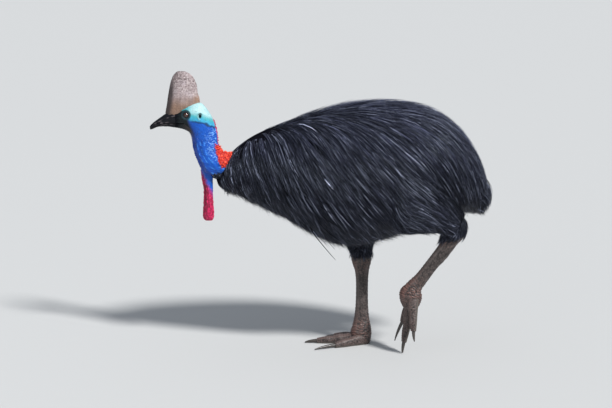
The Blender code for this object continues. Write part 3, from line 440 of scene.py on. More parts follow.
def pebbles(points, size, seed=0):
    """0 in the creases between seeded cells and 1 on top of them."""
    first, second, _ = cells(points, size, seed)
    return smooth(second - first, 0.02, 0.45)


# Lofts

def spline(rows, at):
    """Rows of a table at places from 0 to 1 along it, on a Catmull-Rom curve through them."""
    rows = np.asarray(rows, float)
    last = len(rows) - 1
    place = np.clip(at, 0, 1) * last
    i = np.minimum(place.astype(int), last - 1)
    f = (place - i)[..., None]
    a, b, c, d = (rows[np.clip(i + k, 0, last)] for k in (-1, 0, 1, 2))
    return b + 0.5 * f * (c - a + f * (2 * a - 5 * b + 4 * c - d + f * (3 * (b - c) + d - a)))


def loft(stations, at, angle, power=2.0):
    """Points on a loft. An angle of 0 is at a station's upper or back point, and +Y is at 90."""
    row = spline(stations, at)
    xa, za, xb, zb, half, y = np.moveaxis(row, -1, 0)
    zero = np.zeros_like(xa)
    centre = np.stack(((xa + xb) / 2, y, (za + zb) / 2), -1)
    deep = np.stack(((xb - xa) / 2, zero, (zb - za) / 2), -1)
    c, n = np.cos(angle), np.sin(angle)
    along = np.sign(c) * np.abs(c) ** (2 / power)
    across = np.sign(n) * np.abs(n) ** (2 / power) * half
    return centre + deep * along[..., None] + np.stack((zero, across, zero), -1)


class Grid:
    """A loft as rings of points, with the place and angle of each, and its outward normals."""

    def __init__(self, stations, rings, sides, power=2.0, places=None):
        at = np.linspace(0, 1, rings) if places is None else places
        self.shape = (len(at), sides)
        angle = round_angles(sides)
        self.at, self.angle = (a.ravel() for a in np.meshgrid(at, angle, indexing="ij"))
        self.points = loft(stations, self.at, self.angle, power)
        self.number = self.at * (len(stations) - 1)

    @property
    def normals(self):
        rows = self.points.reshape(*self.shape, 3)
        round_it = np.roll(rows, -1, 1) - np.roll(rows, 1, 1)
        along = np.gradient(rows, axis=0)
        normal = unit(np.cross(round_it, along))
        out = rows - rows.mean(1, keepdims=True)
        if (normal * out).sum() < 0:
            normal = -normal
        return normal.reshape(-1, 3)

    def raise_by(self, height):
        self.points = self.points + self.normals * height[:, None]

    def keep_off_ground(self):
        self.points[:, 2] = np.maximum(self.points[:, 2], 0.0)

    def move(self, place):
        matrix = np.array(place)
        self.points = self.points @ matrix[:3, :3].T + matrix[:3, 3]


def ring_faces(rings, sides, around=False):
    """Four-sided faces between rings of points, and from the last to the first if it goes around."""
    k, s = np.meshgrid(np.arange(rings if around else rings - 1), np.arange(sides), indexing="ij")
    n, t = (k + 1) % rings, (s + 1) % sides
    return np.stack((k * sides + s, k * sides + t, n * sides + t, n * sides + s), -1).reshape(-1, 4)


def capped(points, rings, sides):
    """Faces of rings of points that are followed by a point for each end."""
    s = np.arange(sides)
    t = (s + 1) % sides
    last = (rings - 1) * sides
    start = np.stack((t, s, np.full(sides, rings * sides)), -1)
    end = np.stack((last + s, last + t, np.full(sides, rings * sides + 1)), -1)
    return points, [ring_faces(rings, sides), start, end]


def with_ends(grid, values):
    """A value for each of the grid's points, with the mean of each end ring."""
    rows = values.reshape(*grid.shape, 3)
    return np.concatenate((values, rows[0].mean(0)[None], rows[-1].mean(0)[None]))


def new_mesh(name, points, face_groups):
    """A mesh object from arrays, each group holding faces with one number of corners."""
    mesh = bpy.data.meshes.new(name)
    counts = np.concatenate([np.full(len(group), group.shape[1]) for group in face_groups])
    loops = np.concatenate([group.ravel() for group in face_groups])
    mesh.vertices.add(len(points))
    mesh.vertices.foreach_set("co", np.asarray(points, np.float32).ravel())
    mesh.loops.add(len(loops))
    mesh.loops.foreach_set("vertex_index", loops.astype(np.int32))
    mesh.polygons.add(len(counts))
    starts = np.concatenate(([0], np.cumsum(counts)[:-1]))
    mesh.polygons.foreach_set("loop_start", starts.astype(np.int32))
    mesh.update(calc_edges=True)
    mesh.validate()
    mesh.shade_smooth()
    obj = bpy.data.objects.new(name, mesh)
    bpy.context.scene.collection.objects.link(obj)
    return obj


def face_outwards(obj):
    bm = bmesh.new()
    bm.from_mesh(obj.data)
    bmesh.ops.recalc_face_normals(bm, faces=bm.faces)
    if bm.calc_volume(signed=True) < 0:
        bmesh.ops.reverse_faces(bm, faces=bm.faces)
    bm.to_mesh(obj.data)
    bm.free()


def solid(name, grid):
    obj = new_mesh(name, *capped(with_ends(grid, grid.points), *grid.shape))
    face_outwards(obj)
    return obj


def paint(obj, colours):
    """Keeps a colour at each point, which the materials read."""
    values = np.concatenate((colours, np.ones((len(colours), 1))), 1).astype(np.float32)
    layer = obj.data.color_attributes.new("markings", "FLOAT_COLOR", "POINT")
    layer.data.foreach_set("color", values.ravel())


def finish(obj, slot, material, *nodes):
    """Gives a piece its material and body, and hides the nodes that it stands for. Its slot is not used."""
    obj.data.materials.clear()
    obj.data.materials.append(material)
    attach(obj, "root")
    if nodes:
        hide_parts(*nodes)
    return obj


# Materials

class Surface:
    """A Principled material whose colour is the painted markings, or one colour."""

    def __init__(self, name, roughness, specular=0.5, coat=0.0, coat_roughness=0.2, colour=None):
        self.made = bpy.data.materials.new(name)
        self.made.use_nodes = True
        self.shader = self.made.node_tree.nodes["Principled BSDF"]
        self.put(self.shader, "Roughness", roughness)
        self.put(self.shader, "Specular IOR Level", specular)
        self.put(self.shader, "Coat Weight", coat)
        self.put(self.shader, "Coat Roughness", coat_roughness)
        if colour is None:
            source = self.node("Attribute")
            source.attribute_name = "markings"
            self.painted = source.outputs["Color"]
        else:
            self.painted = self.node("RGB").outputs[0]
            self.painted.default_value = (*colour, 1.0)
        self.colour = self.painted
        self.normal = None
        self.put(self.shader, "Base Color", self.colour)

    def put(self, node, name, value):
        """Links another node's output to an input, or gives the input a value."""
        if isinstance(value, bpy.types.NodeSocket):
            self.made.node_tree.links.new(value, node.inputs[name])
        else:
            node.inputs[name].default_value = value

    def node(self, kind, *inputs):
        node = self.made.node_tree.nodes.new("ShaderNode" + kind)
        for name, value in inputs:
            self.put(node, name, value)
        return node

    def noise(self, scale, detail=4.0, stretch=(1, 1, 1)):
        place = self.node("TexCoord").outputs["Object"]
        mapped = self.node("Mapping", ("Scale", stretch), ("Vector", place)).outputs[0]
        inputs = (("Scale", scale), ("Detail", detail), ("Vector", mapped))
        return self.node("TexNoise", *inputs).outputs["Fac"]

    def cells(self, scale):
        place = self.node("TexCoord").outputs["Object"]
        return self.node("TexVoronoi", ("Scale", scale), ("Vector", place)).outputs["Distance"]

    def vary(self, factor, low, high):
        """Multiplies the colour by a grey that runs from low to high with the factor."""
        grey = self.node("MapRange", ("To Min", low), ("To Max", high), ("Value", factor))
        times = self.node("VectorMath")
        times.operation = "SCALE"
        self.put(times, 0, self.colour)
        self.put(times, "Scale", grey.outputs[0])
        self.colour = times.outputs[0]
        self.put(self.shader, "Base Color", self.colour)

    def bump(self, height, strength, distance):
        """Adds relief to what is there already."""
        node = self.node("Bump", ("Strength", strength), ("Distance", distance), ("Height", height))
        if self.normal:
            self.put(node, "Normal", self.normal)
        self.normal = node.outputs[0]
        self.put(self.shader, "Normal", self.normal)


def skin_surface():
    skin = Surface("bare_skin", 0.46)
    grain = skin.cells(620.0)
    skin.vary(skin.noise(90.0), 0.72, 1.28)
    skin.vary(grain, 1.12, 0.80)
    skin.bump(grain, 0.35, -0.0006)
    skin.bump(skin.noise(1400.0), 0.25, 0.0003)
    grey = skin.node("RGBToBW", (0, skin.painted)).outputs[0]
    inputs = (("From Min", 0.008), ("From Max", 0.016), ("To Max", 0.36), ("Value", grey))
    gloss = skin.node("MapRange", *inputs).outputs[0]
    skin.put(skin.shader, "Specular IOR Level", gloss)
    skin.put(skin.shader, "Subsurface Weight", 0.06)
    skin.put(skin.shader, "Subsurface Radius", (0.004, 0.002, 0.002))
    skin.put(skin.shader, "Subsurface Scale", 1.0)
    return skin.made


def casque_surface():
    casque = Surface("casque_horn", 0.58, specular=0.4)
    streak = casque.noise(60.0, 6.0, (2.4, 2.4, 0.5))
    pits = casque.cells(300.0)
    casque.vary(streak, 0.62, 1.36)
    casque.vary(pits, 0.74, 1.16)
    casque.bump(pits, 0.5, 0.0009)
    casque.bump(streak, 0.4, 0.0012)
    return casque.made


def horn_surface(name, colour, roughness, stretch, coat=0.25):
    horn = Surface(name, roughness, min(2 * coat, 0.5), coat, colour=colour)
    streak = horn.noise(110.0, 5.0, stretch)
    horn.vary(streak, 0.45, 1.7)
    horn.bump(streak, 0.35, 0.0007)
    return horn.made


def plume_surface():
    plume = Surface("plumage", 0.36, specular=0.42)
    plume.vary(plume.noise(34.0), 0.55, 1.55)
    plume.put(plume.shader, "Specular Tint", (0.72, 0.82, 1.0, 1.0))
    return plume.made


def eye_surface():
    eye = Surface("eye", 0.10, 0.6, coat=1.0, coat_roughness=0.02)
    eye.vary(eye.noise(900.0), 0.70, 1.35)
    return eye.made


# Head and neck

def head_places(rings):
    """Places along the head and neck, closer together on the head than on the neck."""
    even = np.linspace(0, 1, rings)
    return even - HEAD_FINER * np.sin(TURN * even) / TURN


def nape_angle(grid):
    return np.abs((grid.angle + np.pi) % TURN - np.pi)


def eye_distance(points):
    """How far points are from the axis of the eye on their own side."""
    mirrored = np.stack((points[:, 0], np.abs(points[:, 1]), points[:, 2]), 1)
    out = EYE_OUT / np.linalg.norm(EYE_OUT)
    apart = mirrored - EYE
    return np.linalg.norm(apart - (apart @ out)[:, None] * out, axis=1)


def ear_distance(points):
    """Distance from the ear opening's middle, 1 being at its edge, and 9 away from the sides."""
    x = (points[:, 0] - EAR[0]) / EAR_HOLE[0]
    z = (points[:, 2] - EAR[2]) / EAR_HOLE[1]
    return np.where(np.abs(points[:, 1]) > 0.012, np.hypot(x, z), 9.0)


def head_relief(points):
    """How far the head's skin stands out at each point: sockets, brow, ears, gape and folds."""
    x, z = points[:, 0], points[:, 2]
    eye = eye_distance(points)
    ear = ear_distance(points)
    height = -0.0105 * (1 - smooth(eye, 0.0085, 0.0128))
    height += 0.0011 * hill(eye - 0.0175, 0.0030)
    height += 0.0016 * hill(x - EYE[0] + 0.002, 0.018) * hill(z - EYE[2] - 0.0185, 0.0045)
    height -= 0.0085 * (1 - smooth(ear, 0.55, 1.25))
    height += 0.0021 * hill(ear - 1.65, 0.40) * smooth(EAR[0] - x, -0.002, 0.005)
    height += 0.0012 * hill(ear - 1.9, 0.45) * smooth(z - EAR[2], 0.002, 0.009)
    gape = smooth(x, GAPE_START_X - 0.002, GAPE_START_X + 0.004)
    gape *= 1 - smooth(x, GAPE_END_X - 0.006, GAPE_END_X)
    height += gape * 0.0011 * hill(np.abs(z - GAPE_Z) - 0.0034, 0.0020)
    height -= gape * 0.0022 * hill(z - GAPE_Z, 0.0012)
    height += 0.0015 * hill(np.hypot(x - GAPE_END_X, z - GAPE_Z), 0.0045)
    for offset in CHEEK_FOLDS:
        fold = z - (GAPE_Z - offset - 0.9 * (x - GAPE_END_X))
        height -= 0.0009 * hill(fold, 0.0016) * hill(x + 0.497, 0.020)
    return height


def neck_relief(grid):
    """Granules, folds and the caruncle, by station number and angle from the nape."""
    number, nape = grid.number, nape_angle(grid)
    on_neck = smooth(number, 5.4, 7.0)
    rear = 1 - smooth(nape, 1.2, 2.0)
    height = on_neck * rear * 0.0012 * (pebbles(grid.points, 0.0050, 3) - 0.5)
    front = on_neck * smooth(nape, 1.5, 2.3)
    height += front * 0.0017 * np.sin(9 * nape + 0.9 * np.sin(number * 2.1))
    height += on_neck * 0.0007 * waves(grid.points, 0.016, 4)
    height += on_neck * 0.0006 * np.sin(number * 26 + 3 * waves(grid.points, 0.05, 9))
    height += caruncle_share(grid) * (0.0020 + 0.0064 * pebbles(grid.points * (1, 1, 1.25), 0.0105, 5))
    height += nape_share(grid) * (0.0010 + 0.0034 * pebbles(grid.points, 0.0072, 8))
    return height


def to_segment(place, a, b):
    """The share of the way along a segment that is nearest to each place, and how far it is."""
    span = b - a
    t = np.clip((place - a) @ span / (span @ span), 0, 1)
    return t, np.linalg.norm(place - a - t[:, None] * span, axis=1)


def inside_by(outline, points):
    """How far points are inside an outline of (x, z), and less than 0 outside it."""
    corners_at = np.array(outline)
    place = points[:, (0, 2)]
    apart = np.full(len(points), 9.0)
    odd = np.zeros(len(points), bool)
    for a, b in zip(corners_at, np.roll(corners_at, -1, 0)):
        span = b - a
        apart = np.minimum(apart, to_segment(place, a, b)[1])
        spans = (a[1] > place[:, 1]) != (b[1] > place[:, 1])
        with np.errstate(divide="ignore", invalid="ignore"):
            at = a[0] + (place[:, 1] - a[1]) * span[0] / span[1]
        odd ^= spans & (place[:, 0] < at)
    return np.where(odd, apart, -apart)


def caruncle_share(grid):
    ragged = 0.0022 * waves(grid.points, 0.016, 12)
    return smooth(inside_by(CARUNCLE, grid.points) + ragged, -0.0012, 0.0018)


def plumed(points):
    """How far points on the neck are past the edge of the coat, and less than 0 on bare skin."""
    x, z = points[:, 0], points[:, 2]
    chest = np.minimum(0.680 - z, x + 0.412)
    ragged = 0.0030 * waves(points, 0.014, 19)
    return np.maximum(chest, x + 0.334) + ragged


def nape_share(grid):
    start, end = NAPE_STRIP
    along = smooth(grid.number, start, start + 0.4) * (1 - smooth(grid.number, end, end + 0.3))
    return along * (1 - smooth(nape_angle(grid), NAPE_HALF_ANGLE * 0.7, NAPE_HALF_ANGLE * 1.6))


def head_colours(grid):
    points = grid.points
    x, z = points[:, 0], points[:, 2]
    nape = nape_angle(grid)
    first, second, tag = cells(points, 0.0050, 3)
    granule = smooth(second - first, 0.10, 0.45)
    # painted shade: the front of the neck is a deeper blue than the lit back
    colours = mix(COBALT, NECK_SHADE_BLUE, 0.75 * smooth(nape, 1.7, 2.6))
    broken = smooth(waves(points, 0.022, 18), -0.5, 0.4) * smooth(grid.number, 6.3, 7.2)
    for line in THROAT_LINES:
        colours = mix(colours, (0.06, 0.30, 0.86), 0.8 * broken * hill(nape - line, 0.040))
    pale = smooth(tag, 0.30, 0.55) * granule * (1 - smooth(nape, 1.25, 1.65))
    colours = mix(colours, GRANULE_BLUE, 0.95 * pale * smooth(grid.number, 6.0, 6.8))
    edge = np.interp(x, *np.array(CROWN_EDGE).T)
    above = z - edge + 0.0022 * waves(points, 0.018, 21)
    colours = mix(colours, TURQUOISE, smooth(above, -0.004, 0.004))
    colours = mix(colours, PALE_CROWN, smooth(above, 0.014, 0.038) * smooth(x, -0.510, -0.475))
    colours = mix(colours, DARK_TEAL, 0.85 * hill(above + 0.0045, 0.0035) * smooth(x, -0.500, -0.470))
    colours = mix(colours, (0.03, 0.34, 0.62), 0.7 * hill(above - 0.006, 0.006))
    lores = 1 - smooth(x + 0.35 * (z - 0.895), LORES_X - 0.012, LORES_X + 0.006)
    lores *= 1 - smooth(z - 0.9065 - 0.22 * (x + 0.556), -0.001, 0.004)
    colours = mix(colours, LORES, lores * smooth(z, 0.805, 0.842))
    by_bill = x + 0.004 * waves(points, 0.012, 22)
    colours = mix(colours, BILL_BLACK, 1 - smooth(by_bill, -0.546, -0.526))
    colours = mix(colours, DARK_TEAL, 0.94 * (1 - smooth(eye_distance(points), 0.0160, 0.0215)))
    for offset in CHEEK_FOLDS:
        fold = z - (GAPE_Z - offset - 0.9 * (x - GAPE_END_X)) - 0.0016
        colours = mix(colours, FOLD_PINK, 0.8 * hill(fold, 0.0012) * hill(x + 0.500, 0.013))
    ear = ear_distance(points)
    behind_ear, over_ear = smooth(EAR[0] - x, -0.002, 0.004), smooth(z - EAR[2], 0.001, 0.008)
    colours = mix(colours, PALE_CROWN, 0.7 * hill(ear - 1.75, 0.35) * behind_ear)
    colours = mix(colours, DARK_TEAL, 0.9 * hill(ear - 1.45, 0.42) * over_ear)
    # painted shade: the ear opening is painted near black
    colours = mix(colours, (0.004, 0.008, 0.014), 1 - smooth(ear, 0.75, 1.25))
    # painted shade: a near black line along the groove of the gape
    on_line = smooth(x, GAPE_START_X, GAPE_START_X + 0.004)
    on_line *= 1 - smooth(x, GAPE_END_X - 0.004, GAPE_END_X)
    colours = mix(colours, (0.004, 0.004, 0.005), on_line * hill(z - GAPE_Z, 0.0015))
    colours = mix(colours, NAPE_MAGENTA, 0.95 * nape_share(grid))
    lump = pebbles(points * (1, 1, 1.25), 0.0105, 5)
    warm = mix(CARUNCLE_DEEP, CARUNCLE_ORANGE, smooth(lump, 0.15, 0.75))
    share = caruncle_share(grid)
    colours = colours * (1 - share[:, None]) + warm * share[:, None]
    band = smooth(grid.number, *SPECKLE_BAND) * (1 - smooth(nape, 1.1, 1.7)) * (1 - share)
    colours = mix(colours, SPECKLE_PURPLE, 0.9 * band * smooth(tag, 0.35, 0.6) * granule)
    return mix(colours, UNDER_PLUMES, smooth(plumed(points), -0.001, 0.003))


def make_head_and_neck():
    grid = Grid(HEAD_AND_NECK, 0, 190, places=head_places(380))
    relief = head_relief(grid.points)
    on_head = 1 - smooth(grid.number, 6.5, 7.5)
    relief = relief * on_head + on_head * 0.00035 * waves(grid.points, 0.006, 31) + neck_relief(grid)
    colours = head_colours(grid)
    grid.raise_by(relief * smooth(grid.at, 0.0, 0.01))
    return grid, colours


def make_lids(side):
    """Two lids round the eye, as a turned ring with folds, drawn out to the corners."""
    profile = (
        (0.0083, 0.0070), (0.0084, 0.0096), (0.0092, 0.0108), (0.0101, 0.0104), (0.0107, 0.0094),
        (0.0114, 0.0099), (0.0121, 0.0096), (0.0126, 0.0085), (0.0133, 0.0086), (0.0142, 0.0070),
        (0.0150, 0.0040), (0.0140, 0.0000), (0.0100, 0.0010),
    )
    sides = 88
    rows = spline((*profile, profile[0]), np.linspace(0, 1, 46, endpoint=False))
    angle = round_angles(sides)
    out, ahead, up = eye_axes(side)
    centre = EYE * (1, side, 1)
    points = []
    for radius, height in rows:
        wide = 1.0 + 0.10 * np.abs(np.cos(angle)) ** 3
        tall = 0.94 + 0.03 * np.sin(angle)
        fold = 0.00025 * np.sin(angle * 14 + radius * 2200) * (radius > 0.0095)
        ring = centre + np.outer(np.cos(angle) * radius * wide, ahead)
        ring = ring + np.outer(np.sin(angle) * radius * tall, up)
        points.append(ring + np.outer(height + fold, out))
    points = np.concatenate(points)
    obj = new_mesh("lids", points, [ring_faces(len(rows), sides, around=True)])
    face_outwards(obj)
    shade = smooth(np.repeat(rows[:, 0], sides), 0.0090, 0.0150)
    return obj, points, mix(LID_DARK, DARK_TEAL, shade)


def eye_axes(side):
    out = EYE_OUT * (1, side, 1)
    out = out / np.linalg.norm(out)
    up = np.array((0.0, 0.0, 1.0))
    up = up - out * (up @ out)
    up /= np.linalg.norm(up)
    return out, np.cross(up, out), up


def make_eye(side, material):
    """An eyeball turned about its own axis, with a bulging cornea, an iris and a pupil."""
    axes = np.stack(eye_axes(side))
    centre = EYE * (1, side, 1)
    rings, sides = 62, 64
    polar = np.linspace(0.0, np.pi, rings + 2)[1:-1]
    angle = round_angles(sides)
    polar, angle = (a.ravel() for a in np.meshgrid(polar, angle, indexing="ij"))
    polar = np.concatenate((polar, (0.0, np.pi)))
    angle = np.concatenate((angle, (0.0, 0.0)))
    way = np.stack((np.cos(polar), np.sin(polar) * np.cos(angle), np.sin(polar) * np.sin(angle)), -1)
    bulge = CORNEA_BULGE * np.where(polar > 0, hill(polar, 0.55), 1.0)
    points = centre + way @ axes * (EYEBALL_RADIUS * (1 + bulge))[:, None]
    obj = new_mesh(f"eyeball_{SIDE_NAMES[side]}", *capped(points, rings, sides))
    face_outwards(obj)
    fibres = 0.5 + 0.5 * np.sin(angle * 34 + 3 * np.sin(angle * 7))
    colours = mix(IRIS, IRIS_PALE, 0.6 * fibres)
    colours = mix(colours, (0.05, 0.012, 0.006), smooth(polar, IRIS_ANGLE * 0.78, IRIS_ANGLE))
    colours = mix(colours, (0.020, 0.014, 0.014), smooth(polar, IRIS_ANGLE, IRIS_ANGLE * 1.1))
    pupil = 1 - smooth(polar, PUPIL_ANGLE * 0.95, PUPIL_ANGLE * 1.05)
    paint(obj, mix(colours, (0.001, 0.001, 0.001), pupil))
    return finish(obj, "eye", material, f"eye_{SIDE_NAMES[side]}")


def make_wattle(side):
    stations = [(*row[:5], row[5] * side) for row in WATTLE]
    grid = Grid(stations, 150, 60)
    if side == RIGHT:
        grid.points = grid.points + RIGHT_WATTLE_SHIFT
    folds = np.sin(grid.angle * 7 + 2.4 * np.sin(grid.at * 9 + side))
    points = grid.points
    crease = pebbles(points * (1, 1, 0.55), 0.0062, 15)
    height = 0.0009 * folds * smooth(grid.at, 0.12, 0.3) + 0.0011 * (crease - 0.5)
    height += 0.0007 * waves(points, 0.020, 14)
    red = 0.25 + 0.75 * smooth(crease, 0.0, 0.6)
    colours = mix(WATTLE_DEEP, WATTLE_CRIMSON, red)
    high = points[:, 2] + 1.7 * (points[:, 0] + 0.4225) + 0.008 * waves(points, 0.025, 17)
    grid.raise_by(height * smooth(1 - grid.at, 0.0, 0.05))
    return grid, mix(colours, COBALT, smooth(high, 0.604, 0.650))


# Bill and casque

def make_casque(material):
    grid = Grid(CASQUE, 140, 104, power=1.7)
    points = grid.points
    x, z = points[:, 0], points[:, 2]
    high = smooth(z, 0.99, 1.05)
    height = 0.0010 * waves(points * (1, 1, 0.35), 0.022, 41)
    height += 0.00022 * np.sin(z * 700 + 4.5 * waves(points, 0.05, 42)) * (1 - high)
    pits, _, tag = cells(points, 0.0090, 43)
    pitted = (0.25 + 0.75 * high) * smooth(tag, 0.45, 0.6) * (1 - smooth(pits, 0.16, 0.40))
    pitted *= smooth(z, 0.94, 0.97)
    height -= 0.0026 * pitted
    crack = z - 1.0335 - 0.004 * waves(points, 0.03, 44)
    height -= 0.0016 * hill(crack, 0.0012) * (x < -0.49)
    # painted shade: the front edge of the casque is painted dark
    keel_shade = smooth(-np.cos(grid.angle), 0.58, 0.84) * (1 - 0.45 * high)
    height += 0.0012 * hill(grid.angle - np.pi, 0.5)
    colours = CASQUE_GREY
    speckle = smooth(z, 0.975, 1.03) * smooth(cells(points, 0.0052, 46)[2], 0.62, 0.75)
    pale = smooth(z, 0.950, 0.990) * smooth(cells(points, 0.0036, 47)[2], 0.66, 0.78)
    for colour, share in (
        (CASQUE_PALE, 0.8 * smooth(waves(points, 0.035, 45), 0.1, 0.9)),
        (CASQUE_BROWN, 0.85 * (1 - smooth(z, 0.925, 0.985))),
        ((0.27, 0.145, 0.080), 0.7 * hill(z - 0.958, 0.018) * smooth(x, -0.49, -0.462)),
        ((0.040, 0.030, 0.030), 0.93 * keel_shade),
        ((0.045, 0.025, 0.025), 0.92 * pitted),
        ((0.060, 0.035, 0.034), 0.85 * hill(crack, 0.0014) * (x < -0.49)),
        ((0.13, 0.095, 0.095), 0.70 * speckle),
        ((0.60, 0.52, 0.51), 0.6 * pale * (1 - keel_shade)),
    ):
        colours = mix(colours, colour, share)
    grid.raise_by(height * smooth(grid.at, 0, 0.02) * smooth(1 - grid.at, 0, 0.02))
    obj = solid("casque_horn", grid)
    paint(obj, with_ends(grid, colours))
    return finish(obj, "casque", material, "casque")


def make_bill(material):
    """Upper and lower halves, each a loft whose far side is pressed to the mouth line."""
    line = np.array(MOUTH_LINE)
    for name, upper in (("bill_upper_horn", True), ("bill_lower_horn", False)):
        grid = Grid(BILL, 130, 88, power=1.9)
        x, z = grid.points[:, 0], grid.points[:, 2]
        mouth = np.interp(x, line[:, 0], line[:, 1]) + (0.0002 if upper else -0.0002)
        side = np.abs(grid.points[:, 1])
        height = 0.00030 * waves(grid.points * (0.5, 1, 1), 0.009, 51)
        if upper:
            groove = z - np.interp(x, (-0.630, -0.590, -0.550), (0.8590, 0.8800, 0.8920))
            height -= 0.0018 * hill(groove, 0.0026) * smooth(x, -0.636, -0.620) * (side > 0.002)
            ahead = x - NOSTRIL[0]
            slit = np.hypot(ahead / 0.0075, (z - NOSTRIL[2] - 0.25 * ahead) / 0.0019)
            height -= 0.0036 * (1 - smooth(slit, 0.6, 1.3))
            height += 0.0007 * hill(slit - 1.9, 0.5)
        height += 0.0007 * hill(z - mouth, 0.0022)
        grid.raise_by(height * smooth(grid.at, 0.0, 0.04))
        z = grid.points[:, 2]
        grid.points[:, 2] = np.maximum(z, mouth) if upper else np.minimum(z, mouth)
        points, z = grid.points, grid.points[:, 2]
        # painted highlights: pale glint lines along the mouth edge, the nostril groove and round the nostril
        broken = smooth(waves(points * (0.4, 1, 1), 0.010, 52), -0.5, 0.5)
        broken *= smooth(points[:, 0], -0.642, -0.615)
        ridge = hill(np.abs(z - mouth) - (0.0042 if upper else 0.0030), 0.0014)
        if upper:
            ridge += 0.9 * hill(groove - 0.0042, 0.0016) + 0.5 * hill(slit - 1.7, 0.4)
        glint = 0.75 * np.minimum(ridge, 1) * broken
        colours = mix(BILL_BLACK, BILL_GLINT, glint)
        obj = solid(name, grid)
        paint(obj, with_ends(grid, colours))
        finish(obj, "bill", material, "bill_upper" if upper else "bill_lower")


# Legs

def scute_relief(grid, rows, front_angle=math.pi):
    """Broad plates down the front of a leg or along the top of a toe, and small scales elsewhere."""
    turn = np.abs((grid.angle - front_angle + np.pi) % TURN - np.pi)
    front = 1 - smooth(turn, 0.75, 1.15)
    phase = grid.at * rows + 0.12 * np.cos(turn * 3)
    step = phase % 1.0
    plate = smooth(step, 0.0, 0.16) * (1 - 0.5 * smooth(step, 0.6, 1.0))
    scales = pebbles(grid.points * (1, 1, 0.8), 0.0062, 61)
    relief = front * 0.0016 * (plate - 0.6) + (1 - front) * 0.0011 * (scales - 0.5)
    return relief, front * plate + (1 - front) * scales


def leg_colours(grid, crest, foot):
    points = grid.points
    colours = mix(TARSUS_DARK, TARSUS, smooth(crest, 0.05, 0.55))
    colours = mix(colours, (0.165, 0.135, 0.125), 0.45 * smooth(waves(points, 0.03, 63), 0.0, 1.0))
    return mix(colours, JOINT_PINK, 0.65 * foot * smooth(crest, 0.2, 0.8))


def make_shank(side):
    stations = LEFT_SHANK if side == LEFT else RIGHT_SHANK
    grid = Grid(stations, 260, 84)
    relief, crest = scute_relief(grid, 44)
    foot = hill(grid.at - 0.78, 0.16) + 0.6 * hill(grid.at - 0.22, 0.10)
    wrinkle = np.sin(grid.at * 150 + 3 * waves(grid.points, 0.03, 64))
    relief += foot * 0.0009 * wrinkle
    colours = leg_colours(grid, crest, foot)
    covered = 1.9 if side == LEFT else 0.9
    colours = mix(colours, UNDER_PLUMES, 1 - smooth(grid.number, covered - 0.35, covered + 0.15))
    grid.raise_by(relief * smooth(1 - grid.at, 0.0, 0.03))
    if side == RIGHT:
        grid.keep_off_ground()
    return grid, colours


def make_toe(stations, place):
    grid = Grid(stations, 110, 60, power=2.2)
    relief, crest = scute_relief(grid, 17, 0.0)
    wrinkle = np.sin(grid.at * 95) * hill(np.sin(grid.at * np.pi * 4), 0.45)
    colours = leg_colours(grid, crest, np.full(len(grid.at), 0.35))
    low = 1 - smooth(grid.points[:, 2], 0.002, 0.010)
    colours = mix(colours, SOLE, low)
    grid.raise_by((relief + 0.0005 * wrinkle) * (1 - low))
    grid.keep_off_ground()
    grid.move(place)
    return grid, colours


def make_claw(name, stations, place, material, node):
    grid = Grid(stations, 60, 36)
    growth = 0.00025 * np.sin(grid.at * 60 + 2 * waves(grid.points, 0.02, 71))
    grid.raise_by(growth * smooth(1 - grid.at, 0, 0.1))
    grid.keep_off_ground()
    grid.move(place)
    grid.keep_off_ground()
    return finish(solid(name, grid), "claw", material, node)


def foot_places(side):
    """Where each toe of a foot is put: its name, outline, claw outline and matrix."""
    hub = Matrix.Translation((0, 0, -HUB_HEIGHT))
    if side == RIGHT:
        place, splay, fan = Matrix.Translation(RIGHT_HUB) @ hub, RIGHT_SPLAY, 0.0
    else:
        fold = Matrix.Rotation(LEFT_FOLD, 4, "Y")
        place, splay, fan = Matrix.Translation(LEFT_HUB) @ fold @ hub, LEFT_SPLAY, LEFT_FAN
    for which, toe, claw, across in (
        ("middle", MIDDLE_TOE, MIDDLE_CLAW, 0),
        ("inner", SIDE_TOE, DAGGER_CLAW, -side),
        ("outer", SIDE_TOE, OUTER_CLAW, side),
    ):
        step = Matrix.Translation((0, across * TOE_STEP, 0))
        turn = Matrix.Rotation(-across * splay, 4, "Z") @ Matrix.Rotation(across * fan, 4, "Y")
        yield which, toe, claw, place @ step @ turn


# Skin

def core_station(row):
    xa, za, xb, zb, half, y = row
    inset = min(CORE_INSET, CORE_INSET_SHARE * half)
    span = Vector((xb - xa, zb - za))
    step = span.normalized() * min(inset, 0.4 * span.length)
    return (xa + step.x, za + step.y, xb - step.x, zb - step.y, half - inset, y)


def core_stations():
    rows = [[core_station(row) for row in stations] for stations in (TORSO, LEFT_THIGH, RIGHT_THIGH)]
    rows[0] = rows[0][:-CORE_TAIL_CUT]
    return rows


def boolean_union(obj, operands):
    group = bpy.data.collections.new("operands")
    bpy.context.scene.collection.children.link(group)
    for operand in operands:
        bpy.context.scene.collection.objects.unlink(operand)
        group.objects.link(operand)
    modifier = obj.modifiers.new("union", "BOOLEAN")
    modifier.operation = "UNION"
    modifier.solver = "MANIFOLD"
    modifier.operand_type = "COLLECTION"
    modifier.collection = group
    bpy.context.view_layer.update()
    graph = bpy.context.evaluated_depsgraph_get()
    made = bpy.data.meshes.new_from_object(obj.evaluated_get(graph))
    obj.modifiers.clear()
    obj.data = made
    for operand in operands:
        bpy.data.objects.remove(operand)
    bpy.data.collections.remove(group)
    obj.data.shade_smooth()
    return obj


